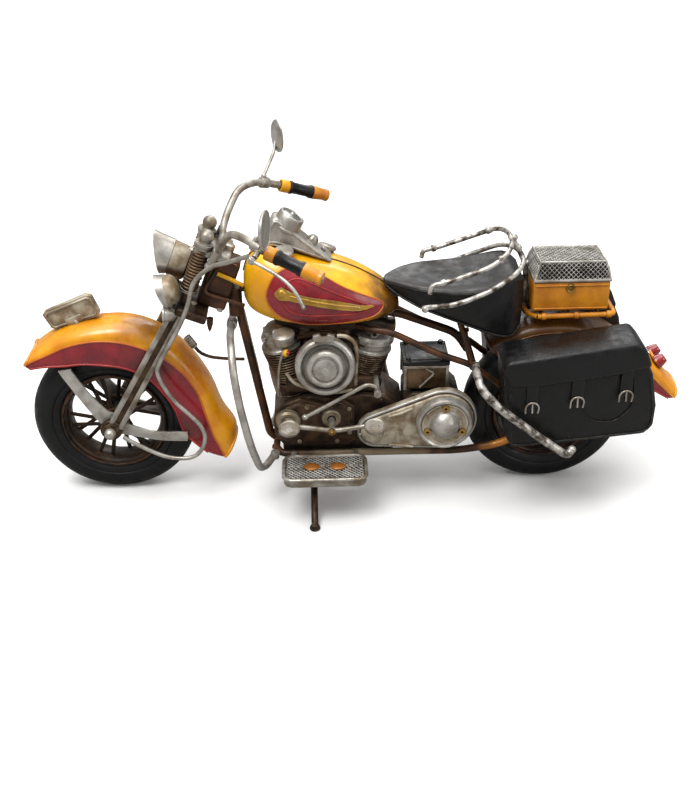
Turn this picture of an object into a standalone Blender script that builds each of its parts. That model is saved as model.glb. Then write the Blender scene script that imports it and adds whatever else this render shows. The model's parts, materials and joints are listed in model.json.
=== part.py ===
"""A hand-built tin model motorcycle: two wheels, a sprung fork, a V-twin engine, panniers and a luggage box.

The bike heads along -X, its left side faces -Y and +Z is up. The origin lies on the ground, in the centre
plane, midway along the overall length. Lengths are written in millimetres and turned into metres by MM.
"""

import math

import bmesh
import bpy
from mathutils import Matrix, Vector

MM = 0.001
GAP = 0.3  # clearance between neighbouring pieces
CENTRE = 2.775  # moves the drawing so that the overall length is centred on the origin

# Wheels
TYRE_RADIUS = 48.2
TYRE_STEPS = 30  # a facet, not a corner, lies on the ground
AXLE_HEIGHT = TYRE_RADIUS * math.cos(math.pi / TYRE_STEPS)
TYRE_HALF_WIDTH = 11.0
TREAD_HALF_WIDTH = 4.0
BEAD_RADIUS = 31.4
RIM_RADIUS = BEAD_RADIUS - GAP
AXLE_RADIUS = 2.0
BORE_RADIUS = AXLE_RADIUS + GAP
WHEELBASE = 255.4
FRONT_AXLE = Vector((-144.5, 0, AXLE_HEIGHT))
REAR_AXLE = FRONT_AXLE + Vector((WHEELBASE, 0, 0))
SPOKES = 10

# Steering
RAKE = math.radians(22)
STEER_AXIS = Vector((math.sin(RAKE), 0, math.cos(RAKE)))
STEER_POINT = Vector((-84, 0, 122))
STEM_RADIUS = 2.2

# Kickstand
STAND_PIVOT = Vector((-27, -22.5, 24))
STAND_FOOT = Vector((-27, -55, 2))

# Luggage box
BOX_FRONT, BOX_REAR = 96.5, 139.0
BOX_HALF_WIDTH = 14.5
BOX_BOTTOM, BOX_TOP = 116.0, 132.8
LID_TOP = 144.5
LID_HINGE = Vector(((BOX_FRONT + BOX_REAR) / 2, BOX_HALF_WIDTH + 1.9, 134.0))

# Rocker pedal and its rod
PEDAL_PIVOT = Vector((-16, -40, 55))
ROD_PIVOT = Vector((10, -36, 76))

YELLOW = ("yellow_paint", (0.90, 0.52, 0.05), 0.35, 0.0)
RED = ("red_lens", (0.55, 0.03, 0.05), 0.25, 0.0)
SILVER = ("silver_tin", (0.62, 0.60, 0.56), 0.38, 0.9)
BROWN = ("aged_brown_steel", (0.12, 0.07, 0.04), 0.55, 0.6)
BLACK = ("black_leatherette", (0.03, 0.03, 0.035), 0.6, 0.0)
RUBBER = ("rubber", (0.02, 0.02, 0.02), 0.75, 0.0)
MIRROR = ("mirror_glass", (0.8, 0.8, 0.8), 0.1, 1.0)


# ---------------------------------------------------------------- scene and helpers

def clear_scene():
    for item in list(bpy.data.objects):
        bpy.data.objects.remove(item)


def material(spec):
    name, colour, roughness, metallic = spec
    found = bpy.data.materials.get(name)
    if found:
        return found
    made = bpy.data.materials.new(name)
    made.use_nodes = True
    shader = made.node_tree.nodes["Principled BSDF"]
    shader.inputs["Base Color"].default_value = (*colour, 1)
    shader.inputs["Roughness"].default_value = roughness
    shader.inputs["Metallic"].default_value = metallic
    return made


def link(name, data):
    made = bpy.data.objects.new(name, data)
    BIKE.objects.link(made)
    return made


def mesh_object(name, bm, smooth=True):
    mesh = bpy.data.meshes.new(name)
    bm.to_mesh(mesh)
    bm.free()
    if smooth:
        mesh.shade_smooth()
        mesh.set_sharp_from_angle(angle=math.radians(35))
    return link(name, mesh)


def baked(source):
    """The object with its modifiers or curve turned into plain mesh, in the same place."""
    bpy.context.view_layer.update()
    graph = bpy.context.evaluated_depsgraph_get()
    mesh = bpy.data.meshes.new_from_object(source.evaluated_get(graph))
    bm = bmesh.new()
    bm.from_mesh(mesh)
    bmesh.ops.remove_doubles(bm, verts=bm.verts, dist=0.001 * MM)
    bm.to_mesh(mesh)
    bm.free()
    name = source.name
    matrix = source.matrix_world.copy()
    bpy.data.objects.remove(source)
    made = link(name, mesh)
    made.matrix_world = matrix
    return made


def boolean(base, others, operation):
    """base united with, or cut by, the others, which are then removed."""
    for other in others:
        step = base.modifiers.new(operation.lower(), "BOOLEAN")
        step.operation = operation
        step.solver = "EXACT"
        step.object = other
    made = baked(base)
    for other in others:
        bpy.data.objects.remove(other)
    return made


def fuse(base, *others):
    return boolean(base, others, "UNION")


def cut(base, *others):
    return boolean(base, others, "DIFFERENCE")


def frame_to(direction, origin):
    """Matrix that turns +Z to the direction and moves to the origin, given in millimetres."""
    turn = Vector(direction).to_track_quat("Z", "Y").to_matrix().to_4x4()
    return Matrix.Translation(Vector(origin) * MM) @ turn


def cylinder(start, end, radius, sides=16, end_radius=None, name="cylinder"):
    start, end = Vector(start), Vector(end)
    bm = bmesh.new()
    bmesh.ops.create_cone(
        bm, cap_ends=True, segments=sides, radius1=radius * MM,
        radius2=(radius if end_radius is None else end_radius) * MM, depth=(end - start).length * MM,
    )
    made = mesh_object(name, bm)
    made.matrix_world = frame_to(end - start, (start + end) / 2)
    return made


def ball(centre, radius, name="ball", scale=(1, 1, 1), detail=(12, 8)):
    bm = bmesh.new()
    bmesh.ops.create_uvsphere(bm, u_segments=detail[0], v_segments=detail[1], radius=radius * MM)
    bmesh.ops.scale(bm, vec=scale, verts=bm.verts)
    made = mesh_object(name, bm)
    made.location = Vector(centre) * MM
    return made


def block(low, high, name="block", bevel=0.0, tilt=0.0):
    """A box between two corners, turned about Y through its centre by tilt degrees."""
    low, high = Vector(low), Vector(high)
    bm = bmesh.new()
    bmesh.ops.create_cube(bm, size=1)
    bmesh.ops.scale(bm, vec=(high - low) * MM, verts=bm.verts)
    made = mesh_object(name, bm, smooth=False)
    made.location = (low + high) / 2 * MM
    made.rotation_euler = (0, math.radians(tilt), 0)
    if bevel:
        rounding = made.modifiers.new("rounded_edges", "BEVEL")
        rounding.width = bevel * MM
        rounding.segments = 2
        made = baked(made)
    return made


def bends(points, radius, steps=4):
    """The path with each inner corner eased over this distance, as a wire is bent."""
    points = [Vector(p) for p in points]
    path = [points[0]]
    for before, corner, after in zip(points, points[1:], points[2:]):
        reach = min(radius, (before - corner).length * 0.45, (after - corner).length * 0.45)
        start = corner + (before - corner).normalized() * reach
        end = corner + (after - corner).normalized() * reach
        for i in range(steps + 1):
            t = i / steps
            path.append((1 - t) ** 2 * start + 2 * t * (1 - t) * corner + t * t * end)
    path.append(points[-1])
    return path


def tube(points, radius, name="tube", bend=8.0, steps=1, resolution=1, closed=False):
    """A round wire or tube through the points, in millimetres."""
    path = [Vector(p) for p in points] if closed else bends(points, bend, steps)
    curve = bpy.data.curves.new(name, "CURVE")
    curve.dimensions = "3D"
    curve.bevel_depth = radius * MM
    curve.bevel_resolution = resolution
    curve.use_fill_caps = True
    spline = curve.splines.new("POLY")
    spline.points.add(len(path) - 1)
    for slot, place in zip(spline.points, path):
        slot.co = (*(place * MM), 1)
    spline.use_cyclic_u = closed
    made = baked(link(name, curve))
    made.data.shade_smooth()
    made.data.set_sharp_from_angle(angle=math.radians(50))
    return made


def lathe(profile, origin, axis, name="turned", steps=24, closed=False):
    """A turned solid. Each profile point is (radius, height along the axis), down the outer side first."""
    mesh = bpy.data.meshes.new(name)
    points = [(r * MM, 0, h * MM) for r, h in profile]
    edges = [(i, i + 1) for i in range(len(points) - 1)]
    if closed:
        edges.append((len(points) - 1, 0))
    mesh.from_pydata(points, edges, [])
    made = link(name, mesh)
    made.matrix_world = frame_to(axis, origin)
    turn = made.modifiers.new("turn", "SCREW")
    turn.axis = "Z"
    turn.angle = math.tau
    turn.steps = turn.render_steps = steps
    turn.use_merge_vertices = True
    turn.merge_threshold = 0.0001 * MM
    turn.use_normal_calculate = True
    made = baked(made)
    bm = bmesh.new()
    bm.from_mesh(made.data)
    bmesh.ops.recalc_face_normals(bm, faces=bm.faces)
    bm.to_mesh(made.data)
    bm.free()
    made.data.shade_smooth()
    made.data.set_sharp_from_angle(angle=math.radians(35))
    return made


def plate(outline, y_low, y_high, name="plate", holes=()):
    """A flat plate cut to an outline of (x, z) points, between two planes of constant y."""
    curve = bpy.data.curves.new(name, "CURVE")
    curve.dimensions = "2D"
    curve.fill_mode = "BOTH"
    curve.extrude = (y_high - y_low) / 2 * MM
    for ring in (outline, *holes):
        spline = curve.splines.new("POLY")
        spline.points.add(len(ring) - 1)
        for slot, (x, z) in zip(spline.points, ring):
            slot.co = (x * MM, z * MM, 0, 1)
        spline.use_cyclic_u = True
    flat = link(name, curve)
    flat.rotation_euler = (math.radians(90), 0, 0)
    flat.location = (0, (y_low + y_high) / 2 * MM, 0)
    return baked(flat)


def circle(centre, radius, sides=20, start=0.0, sweep=360.0):
    """(x, z) points of an arc, or of a whole circle without its repeated last point."""
    x, z = centre
    count = sides if sweep == 360.0 else sides + 1
    angles = [math.radians(start + sweep * i / sides) for i in range(count)]
    return [(x + radius * math.cos(a), z + radius * math.sin(a)) for a in angles]


def belt(first, first_radius, second, second_radius, sides=20):
    """Outline of two circles, the first to the left, joined by their outer tangents."""
    (x1, z1), (x2, z2) = first, second
    along = math.degrees(math.atan2(z2 - z1, x2 - x1))
    spread = math.degrees(math.acos((first_radius - second_radius) / math.hypot(x2 - x1, z2 - z1)))
    left = circle(first, first_radius, sides // 2, along + spread, 360 - 2 * spread)
    right = circle(second, second_radius, sides // 2, along - spread, 2 * spread)
    return left + right


def loft(sections, name="loft", cap=True):
    """A skin over rings of equal length, each a list of points in millimetres."""
    bm = bmesh.new()
    rings = [[bm.verts.new(Vector(p) * MM) for p in ring] for ring in sections]
    count = len(rings[0])
    for a, b in zip(rings, rings[1:]):
        for i in range(count):
            j = (i + 1) % count
            bm.faces.new((a[i], a[j], b[j], b[i]))
    if cap:
        bm.faces.new(rings[0][::-1])
        bm.faces.new(rings[-1])
    bmesh.ops.remove_doubles(bm, verts=bm.verts, dist=0.001 * MM)
    bmesh.ops.recalc_face_normals(bm, faces=bm.faces)
    return mesh_object(name, bm)


def line_at(keys, t):
    """Value at t on the straight-line graph through (t, value) keys."""
    if t <= keys[0][0]:
        return keys[0][1]
    for (t0, v0), (t1, v1) in zip(keys, keys[1:]):
        if t <= t1:
            return v0 + (v1 - v0) * (t - t0) / (t1 - t0)
    return keys[-1][1]


def mirror_copy(source, name):
    """The same piece on the other side of the centre plane, as its own mesh."""
    mesh = source.data.copy()
    matrix = source.matrix_world.copy()
    mesh.transform(Matrix.Scale(-1, 4, (0, 1, 0)) @ matrix)
    mesh.flip_normals()
    made = link(name, mesh)
    return made


def finish(piece, name, spec, origin=None):
    """Names and paints a finished piece and puts its origin at a point, or at the middle of its box."""
    matrix = piece.matrix_world.copy()
    piece.data.transform(matrix)
    if origin is None:
        low = Vector([min(v.co[k] for v in piece.data.vertices) for k in range(3)])
        high = Vector([max(v.co[k] for v in piece.data.vertices) for k in range(3)])
        place = (low + high) / 2
    else:
        place = Vector(origin) * MM
    piece.data.transform(Matrix.Translation(-place))
    piece.matrix_world = Matrix.Translation(place + Vector((CENTRE * MM, 0, 0)))
    piece.name = name
    piece.data.name = name
    piece.data.materials.clear()
    piece.data.materials.append(material(spec))
    return piece


# ---------------------------------------------------------------- small shape helpers

def polar(axle, radius, degrees, y):
    """The point at a radius and an angle above the rear horizon of a wheel, at this y."""
    angle = math.radians(degrees)
    return (axle.x + radius * math.cos(angle), y, axle.z + radius * math.sin(angle))


def double_skin(outer, inner, name="sheet"):
    """A sheet between two grids of points of the same size, stitched along its edges."""
    bm = bmesh.new()
    top = [[bm.verts.new(Vector(p) * MM) for p in row] for row in outer]
    under = [[bm.verts.new(Vector(p) * MM) for p in row] for row in inner]
    rows, columns = len(top), len(top[0])
    for grid in (top, under):
        for i in range(rows - 1):
            for j in range(columns - 1):
                bm.faces.new((grid[i][j], grid[i][j + 1], grid[i + 1][j + 1], grid[i + 1][j]))
    for i in range(rows - 1):
        for j in (0, columns - 1):
            bm.faces.new((top[i][j], top[i + 1][j], under[i + 1][j], under[i][j]))
    for j in range(columns - 1):
        for i in (0, rows - 1):
            bm.faces.new((top[i][j], top[i][j + 1], under[i][j + 1], under[i][j]))
    bmesh.ops.recalc_face_normals(bm, faces=bm.faces)
    return mesh_object(name, bm)


def strip(start, end, width, y_low, y_high, name="strip"):
    """A flat bar of even width between two (x, z) points."""
    start, end = Vector(start), Vector(end)
    side = Vector((start.y - end.y, end.x - start.x)).normalized() * width / 2
    outline = [start - side, end - side, end + side, start + side]
    return plate([tuple(p) for p in outline], y_low, y_high, name)


def mudguard(axle, angles, crown, shoulder, skirt, half_width, thickness, name):
    """A sheet mudguard: crown, shoulder and skirt radii are graphs over the angle round the axle."""
    outer, inner = [], []
    for angle in angles:
        top, edge, hem = line_at(crown, angle), line_at(shoulder, angle), line_at(skirt, angle)
        half = [
            (hem, half_width), (edge, half_width - 0.2), (top - 0.55 * (top - edge), half_width - 2.4),
            (top - 0.15 * (top - edge), half_width * 0.5), (top, 0),
        ]
        row = half + [(r, -y) for r, y in half[-2::-1]]
        outer.append([polar(axle, r, angle, -y) for r, y in row])
        row = []
        for r, y in half:
            drop = 0 if r == hem else thickness
            row.append((r - drop, max(0, y - thickness) if r != top else 0))
        row = row + [(r, -y) for r, y in row[-2::-1]]
        inner.append([polar(axle, r, angle, -y) for r, y in row])
    return double_skin(outer, inner, name)


def bend_axis_block(centre, half, tilt, name="block", bevel=0.0):
    """A box of these half sizes round a centre, turned about Y."""
    centre, half = Vector(centre), Vector(half)
    return block(centre - half, centre + half, name, bevel, tilt)


def on_steering(across, y, along):
    """The point this far behind, beside and along the steering axis."""
    behind = Vector((math.cos(RAKE), 0, -math.sin(RAKE)))
    return STEER_POINT + behind * across + STEER_AXIS * along + Vector((0, y, 0))


# ---------------------------------------------------------------- wheels

def make_tyre(axle, name):
    half, tread, bead = TYRE_HALF_WIDTH, TREAD_HALF_WIDTH, 8.0
    profile = [
        (TYRE_RADIUS, tread), (TYRE_RADIUS - 2.6, 9.0), (TYRE_RADIUS - 8, half), (BEAD_RADIUS, bead),
        (BEAD_RADIUS, -bead), (TYRE_RADIUS - 8, -half), (TYRE_RADIUS - 2.6, -9.0), (TYRE_RADIUS, -tread),
    ]
    tyre = lathe(profile, axle, (0, 1, 0), name, TYRE_STEPS, closed=True)
    return finish(tyre, name, RUBBER, axle)


def make_rim(axle, name):
    well = [(RIM_RADIUS, 7.0), (RIM_RADIUS, -7.0), (28.0, -7.0), (26.5, 0), (28.0, 7.0)]
    rim = lathe(well, axle, (0, 1, 0), "well", TYRE_STEPS, closed=True)
    hub = cylinder(axle + Vector((0, -12, 0)), axle + Vector((0, 12, 0)), 5.2, 10)
    spokes = []
    for i in range(SPOKES):
        angle = math.tau * (i + 0.5) / SPOKES
        reach = Vector((math.cos(angle), 0, math.sin(angle)))
        lean = Vector((0, 2.4 if i % 2 else -2.4, 0))
        spokes.append(cylinder(axle + reach * 3.6 + lean, axle + reach * 27.6 + lean, 1.7, 4, 1.5))
    rim = fuse(rim, hub, *spokes)
    rim = cut(rim, cylinder(axle + Vector((0, -14, 0)), axle + Vector((0, 14, 0)), BORE_RADIUS, 8))
    return finish(rim, name, BROWN, axle)


def make_axle(axle, half_length, nut_at, name):
    shaft = cylinder(axle + Vector((0, -half_length, 0)), axle + Vector((0, half_length, 0)), AXLE_RADIUS, 12)
    nuts = []
    for side in (-1, 1):
        inside = axle + Vector((0, side * nut_at, 0))
        outside = axle + Vector((0, side * (nut_at + 2.6), 0))
        nuts.append(cylinder(inside, outside, 4.0, 6))
    return finish(fuse(shaft, *nuts), name, SILVER, axle)


# ---------------------------------------------------------------- fork

def make_fork():
    lower = bend_axis_block((-92.5, 0, 120), (11, 20, 2.5), 22, "lower_yoke")
    upper = bend_axis_block((-78.5, 0, 153), (10, 14.3, 2), 22, "upper_yoke")
    stem = cylinder(on_steering(0, 0, -5), on_steering(0, 0, 33.3), STEM_RADIUS, 14)
    lamp_bracket = block((-91.5, -3, 147), (-84, 3, 157))
    pieces = [upper, stem, lamp_bracket]
    for side in (-1, 1):
        y = side * 18.4
        pieces.append(cylinder((-146.6, y, 51.5), (-104.0, y, 123.6), 1.9, 8))
        pieces.append(cylinder((-140.6, y, 48.9), (-98.5, y, 119.8), 1.9, 8))
        ends = sorted((side * 16.7, side * 20.1))
        pieces.append(plate(circle((FRONT_AXLE.x, FRONT_AXLE.z), 6.2, 10), *ends, name="dropout"))
        pieces.append(cylinder((-101, side * 16.5, 121), (-104.5, side * 16.5, 126.4), 1.8, 8))
    fork = fuse(lower, *pieces)
    bores = [cylinder(FRONT_AXLE + Vector((0, -24, 0)), FRONT_AXLE + Vector((0, 24, 0)), BORE_RADIUS, 12)]
    for side in (-1, 1):
        bores.append(cylinder(on_steering(-12.5, side * 10.7, 24), on_steering(-12.5, side * 10.7, 38), 2.4, 12))
        bores.append(cylinder((-73, side * 21, 161), (-81.5, side * 13.2, 144.6), 2.5, 8))
    return finish(cut(fork, *bores), "fork", SILVER, STEER_POINT)


def make_spring(side, name):
    profile = [
        (0.0, 42.0), (2.9, 41.2), (4.6, 38.4), (4.6, 35.6), (3.6, 33.4), (2.0, 33.4), (2.0, 28.2),
        (4.9, 28.2), (4.9, -1.9), (0.0, -1.9),
    ]
    base = on_steering(-12.5, side * 10.7, 0)
    return finish(lathe(profile, base, STEER_AXIS, name, 12), name, SILVER, STEER_POINT)


def bar_path(side):
    return [(-74.6, side * 18, 157.2), (-72, side * 24.5, 164), (-66, side * 34.5, 174), (-57, side * 45, 174.2),
            (-48, side * 53, 170.6), (-19, side * 64.1, 159.5)]


def make_handlebar():
    path = bar_path(-1)[::-1] + [(-73.3, 0, 157.6)] + bar_path(1)
    bar = tube(path, 2.0, "bar", 9, 2)
    extras = []
    for side in (-1, 1):
        extras.append(cylinder((-54.0, side * 47.7, 173), (-49.6, side * 51.6, 171.3), 3.2, 10))
        extras.append(cylinder((-50.6, side * 51.5, 171), (-53.2, side * 56.6, 169), 1.6, 8))
        extras.append(cylinder((-74.8, side * 19.4, 158), (-79.9, side * 14.7, 148.3), 1.9, 8))
    return finish(fuse(bar, *extras), "handlebar", SILVER, STEER_POINT)


def make_grip(side, name):
    start = Vector((-44.6, side * 54.3, 169.3))
    end = Vector((-16.6, side * 65.0, 158.6))
    along = (end - start).normalized()
    length = (end - start).length
    grip = lathe(
        [(3.6, length - 0.4), (3.6, length - 9), (3.3, length - 9), (3.3, 6), (3.6, 6), (3.6, 0), (2.6, 0),
         (2.6, length - 0.4)],
        start, along, name, 10, closed=True,
    )
    return finish(grip, name, YELLOW, STEER_POINT)


def lever_frame(side):
    """Pivot point, direction along the lever, and the axis it squeezes about."""
    along = Vector((0.878, side * 0.336, -0.336)).normalized()
    outward = Vector((-0.357, side * 0.934, 0)).normalized()
    pivot_point = Vector((-54.4, side * 59.0, 168.4))
    axis = outward.cross(along)
    return pivot_point, along, outward, axis.normalized()


def make_lever(side, name):
    base, along, outward, axis = lever_frame(side)
    tip = base + along * 31 + outward * 4.0
    wire = tube([base, base + along * 12 + outward * 0.6, tip], 0.9, "wire", 6, 1, 0)
    eye = cylinder(base - axis * 1.3, base + axis * 1.3, 1.7, 10)
    end = ball(tip, 1.5, "end", detail=(8, 6))
    return finish(fuse(wire, eye, end), name, SILVER, base)


def make_mirror(side, name):
    foot = Vector((-51.8, side * 49.6, 176.2))
    disc_centre = Vector((-44.4, side * 70.5, 193.3))
    stem = tube([foot, (-50, side * 55, 179), (-46, side * 67, 185), (-45.0, side * 70.3, 191)], 1.0, "stem", 8, 1, 0)
    facing = Vector((math.cos(math.radians(12)), side * math.sin(math.radians(12)), 0))
    disc = cylinder(disc_centre - facing * 0.9, disc_centre + facing * 0.9, 9.6, 18)
    return finish(fuse(disc, stem), name, MIRROR, foot)


def make_headlight():
    profile = [(5.0, 0.0), (9.0, 3.0), (10.6, 8.0), (10.6, 18.0), (11.3, 18.6), (11.3, 20.4), (0.0, 20.4)]
    profile = profile[::-1] + [(0.0, 0.0)]
    return finish(lathe(profile, (-91.8, 0, 150), (-1, 0, 0), "headlight", 16), "headlight", SILVER, STEER_POINT)


def make_spotlight(side, name):
    profile = [(0.0, 12.0), (8.9, 12.0), (8.9, 3.4), (7.0, 1.6), (4.0, 0.0), (0.0, 0.0)]
    lamp = lathe(profile, (-97.4, side * 17, 136.2), (-1, 0, 0), name, 14)
    return finish(lamp, name, SILVER, STEER_POINT)


FRONT_CROWN = [(-20, 72.5), (-11, 72), (-4, 66.5), (8, 63), (29, 62), (43, 63), (51, 64.2), (65, 65.8),
               (80, 65.6), (90, 64), (118, 63.2), (132, 62.3), (142, 60.6)]
FRONT_SHOULDER = [(-20, 62), (-14, 60), (-4, 56.7), (7, 55), (39, 55.6), (65, 55.2), (100, 55.6),
                  (123, 55.9), (135, 57), (142, 59)]
FRONT_SKIRT = [(-20, 50.5), (-13, 42), (1, 39.6), (35, 38), (50, 39.2), (68, 39.6), (90, 40), (100, 41.5),
               (120, 46.2), (132, 52.6), (142, 57.6)]


def make_front_fender():
    angles = [142, 135, 123, 106, 90, 74, 58, 42, 22, 6, -5, -13, -20]
    sheet = mudguard(FRONT_AXLE, angles, FRONT_CROWN, FRONT_SHOULDER, FRONT_SKIRT, 14.3, 1.0, "sheet")
    stays = []
    hole = circle((FRONT_AXLE.x, FRONT_AXLE.z), BORE_RADIUS + 0.2, 8)
    for side in (-1, 1):
        ends = sorted((side * 14.0, side * 16.2))
        stays.append(strip((-168.5, 92.5), (-148.3, 52.6), 4.6, *ends))
        stays.append(strip((-140.2, 47.4), (-100.5, 40.5), 4.6, *ends))
        stays.append(plate(circle((FRONT_AXLE.x, FRONT_AXLE.z), 6.0, 10), *ends, name="eye", holes=[hole]))
    return finish(fuse(sheet, *stays), "front_fender", YELLOW, STEER_POINT)


def make_number_plate():
    outline = [(-178.2, 115.2), (-150.0, 126.6), (-145.6, 114.4), (-174.2, 105.6)]
    return finish(plate(outline, -1.8, 1.8), "number_plate", SILVER, STEER_POINT)


def make_brake_cable():
    path = [
        (-57, -43, 164.4), (-68, -38.5, 159.5), (-78, -32, 154), (-88, -26, 143), (-93, -24.2, 128), (-99, -23, 115),
        (-110, -23, 96), (-113, -23, 86), (-106, -23, 70), (-92, -22.6, 52), (-90.5, -22.6, 40),
        (-98, -22.6, 30.5), (-113, -22.6, 31), (-129, -22.6, 39.5), (-137.2, -22.6, 45.4),
    ]
    return finish(tube(path, 1.1, "cable", 10, 1, 0), "brake_cable", SILVER, STEER_POINT)


# ---------------------------------------------------------------- frame

def make_main_frame():
    backbone = tube([(-66, 0, 129), (-40, 0, 121), (-8, 0, 114.5), (23, 0, 110.5), (57, 0, 97), (64, 0, 86)], 2.4,
                    "backbone", 6, 1)
    downtube = tube([(-67, 0, 117), (-66, 0, 109), (-53, 0, 32), (-47, 0, 27.5)], 2.5, "downtube", 5, 1)
    pieces = [downtube]
    pieces.append(cylinder((-68.8, 0, 113), (-68.8, 0, 129), 4.0, 10))
    pieces.append(cylinder((-8, 0, 115), (-8, 0, 107), 2.0, 8))
    pieces.append(tube([(65, -19.5, 85), (65, 19.5, 85)], 2.3, "seat_cross"))
    pieces.append(tube([(-49, -15, 27.3), (-49, 15, 27.3)], 2.0, "front_cross"))
    pieces.append(tube([(40, -16, 26.8), (40, 16, 26.8)], 2.0, "rear_cross"))
    for side in (-1, 1):
        y = side * 16
        rail = [(-50, side * 8, 27.5), (-46, y, 27.2), (1, y, 27), (60, y, 26.6), (84, side * 17, 31),
                (106, side * 17.4, 45)]
        pieces.append(tube(rail, 2.3, "rail", 8, 1))
        upper = [(-8, 0, 108), (4, side * 15, 108), (18, side * 19, 107.6), (44, side * 19, 93.5),
                 (65, side * 18, 85), (104, side * 17.4, 52)]
        pieces.append(tube(upper, 1.9, "stay", 8, 1))
        pieces.append(tube([(65, side * 18, 85), (57, side * 13, 109.5)], 1.7, "seat_post"))
        ends = sorted((side * 15.8, side * 18.6))
        outline = belt((106.5, 48.2), 5.4, (112.5, 48.2), 5.3, 16)
        pieces.append(plate(outline, *ends, name="dropout"))
        pieces.append(cylinder((-27, side * 15, 25.5), (-27, side * 19.0, 24.8), 2.6, 10))
    frame = fuse(backbone, *pieces)
    axle_bore = cylinder(REAR_AXLE + Vector((0, -24, 0)), REAR_AXLE + Vector((0, 24, 0)), BORE_RADIUS, 12)
    return finish(cut(frame, axle_bore), "main_frame", BROWN)


def make_neck_box():
    centre = on_steering(2.2, 0, 13)
    box = bend_axis_block(centre, (8.2, 7.2, 15.0), 22, "neck", 1.2)
    bore = cylinder(on_steering(0, 0, -6), on_steering(0, 0, 32), STEM_RADIUS + GAP, 14)
    clear = block((-73.2, -4.5, 112), (-60, 4.5, 131))
    return finish(cut(box, bore, clear), "neck_box", BROWN)


def make_crash_bar():
    left = [(-71.6, 0, 106), (-71.6, -18, 108), (-70, -33, 104), (-69, -41, 95), (-66.5, -44, 76),
            (-62, -43, 50), (-58, -33, 28), (-55, -21.4, 22.5), (-50, -21.4, 30)]
    right = [Vector((p[0], -p[1], p[2])) for p in left[1:]]
    return finish(tube(left[::-1] + right, 1.9, "crash_bar", 9, 1), "crash_bar", SILVER)


def make_tank_half(side, name):
    stations = [
        (-63, 125, 139, 8), (-60, 120.5, 147, 14), (-54, 117, 151.5, 18.5), (-45, 114.6, 152, 22.5),
        (-33, 112.8, 149.6, 24.5), (-18, 112, 145.4, 24.6), (-3, 112, 140, 23), (10, 113, 133, 19),
        (18, 114.6, 127, 14), (23, 117, 122.5, 8.5),
    ]
    inner = 3.1
    rings = []
    for x, low, high, wide in stations:
        tall = high - low
        half = [
            (inner, low), (wide * 0.62, low), (wide * 0.9, low + tall * 0.12), (wide, low + tall * 0.34),
            (wide * 0.93, low + tall * 0.64), (wide * 0.70, low + tall * 0.88), (wide * 0.42, high - tall * 0.01),
            (inner, high),
        ]
        rings.append([(x, side * max(y, inner), z) for y, z in half])
    return finish(loft(rings, name), name, YELLOW)


def make_dash_console():
    outline = [(-51, 157), (-44.5, 173.4), (-40.5, 173.0), (-14, 146), (-14.6, 144.8), (-22, 147.4), (-37, 153.6),
               (-45, 156)]
    body = plate(outline, -6.6, 6.6, "console")
    foot = block((-42, -2.4, 126), (-22, 2.4, 156))
    knob = ball((-24.2, 0, 159.2), 3.4, "knob", detail=(12, 8))
    made = fuse(body, foot, knob)
    clear = tube([(-66, 0, 129), (-40, 0, 121), (-8, 0, 114.5), (23, 0, 110.5)], 6.0, "clear", 6, 2)
    return finish(cut(made, clear), "dash_console", SILVER)


def make_gauge():
    normal = Vector((0.733, 0, 0.68)).normalized()
    base = Vector((-33.6, 0, 166)) + normal * 0.6
    profile = [(0.0, 7.4), (3.2, 7.0), (6.4, 6.0), (7.2, 5.0), (7.2, 0.0), (0.0, 0.0)]
    return finish(lathe(profile, base, normal, "gauge", 18), "gauge", SILVER)


def make_fuel_cap(x, side, surface, tilt, name):
    profile = [(0.0, 4.4), (4.6, 4.2), (5.1, 3.2), (5.1, 1.8), (4.2, 1.4), (4.2, 0.0), (0.0, 0.0)]
    axis = Vector((math.sin(math.radians(tilt)), side * 0.22, 1)).normalized()
    return finish(lathe(profile, (x, side * 12.2, surface), axis, name, 14), name, SILVER)


# ---------------------------------------------------------------- engine

def make_crankcase():
    outline = [(-46, 38), (-36, 33.6), (20, 33.6), (26, 40), (26, 56), (16, 64.6), (2, 66), (-12, 63),
               (-28, 65.6), (-44, 61), (-50, 50)]
    case = plate(outline, -16, 16, "case")
    front = cylinder((-36, 0, 60), (-38.4, 0, 69.6), 8.5, 14)
    rear = cylinder((4, 0, 58), (5, 0, 69.6), 8.5, 14)
    return finish(fuse(case, front, rear), "crankcase", SILVER)


def make_cylinder_barrel(base, lean, height, name):
    axis = Vector((math.sin(lean), 0, math.cos(lean)))
    profile = [(0.0, height)]
    fins = 3
    for i in range(fins):
        top = height - i * height / fins
        low = top - height / fins * 0.55
        nxt = height - (i + 1) * height / fins
        profile += [(12.0, top), (12.0, low), (9.8, low), (9.8, nxt)]
    profile += [(0.0, 0.0)]
    return finish(lathe(profile, base, axis, name, 14), name, SILVER)


def make_head(base, lean, height, name):
    axis = Vector((math.sin(lean), 0, math.cos(lean)))
    centre = Vector(base) + axis * (height + GAP + 6.2)
    head = bend_axis_block(centre, (12, 12.4, 6.2), math.degrees(lean), "head", 2.2)
    cap = cylinder(centre + axis * 4, centre + axis * 8.6, 7.5, 12)
    return finish(fuse(head, cap), name, SILVER)


FRONT_BASE, FRONT_LEAN, FRONT_HEIGHT = Vector((-38.6, 0, 70.2)), math.radians(-13), 21.0
REAR_BASE, REAR_LEAN, REAR_HEIGHT = Vector((5.1, 0, 70.2)), math.radians(8), 18.0


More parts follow.
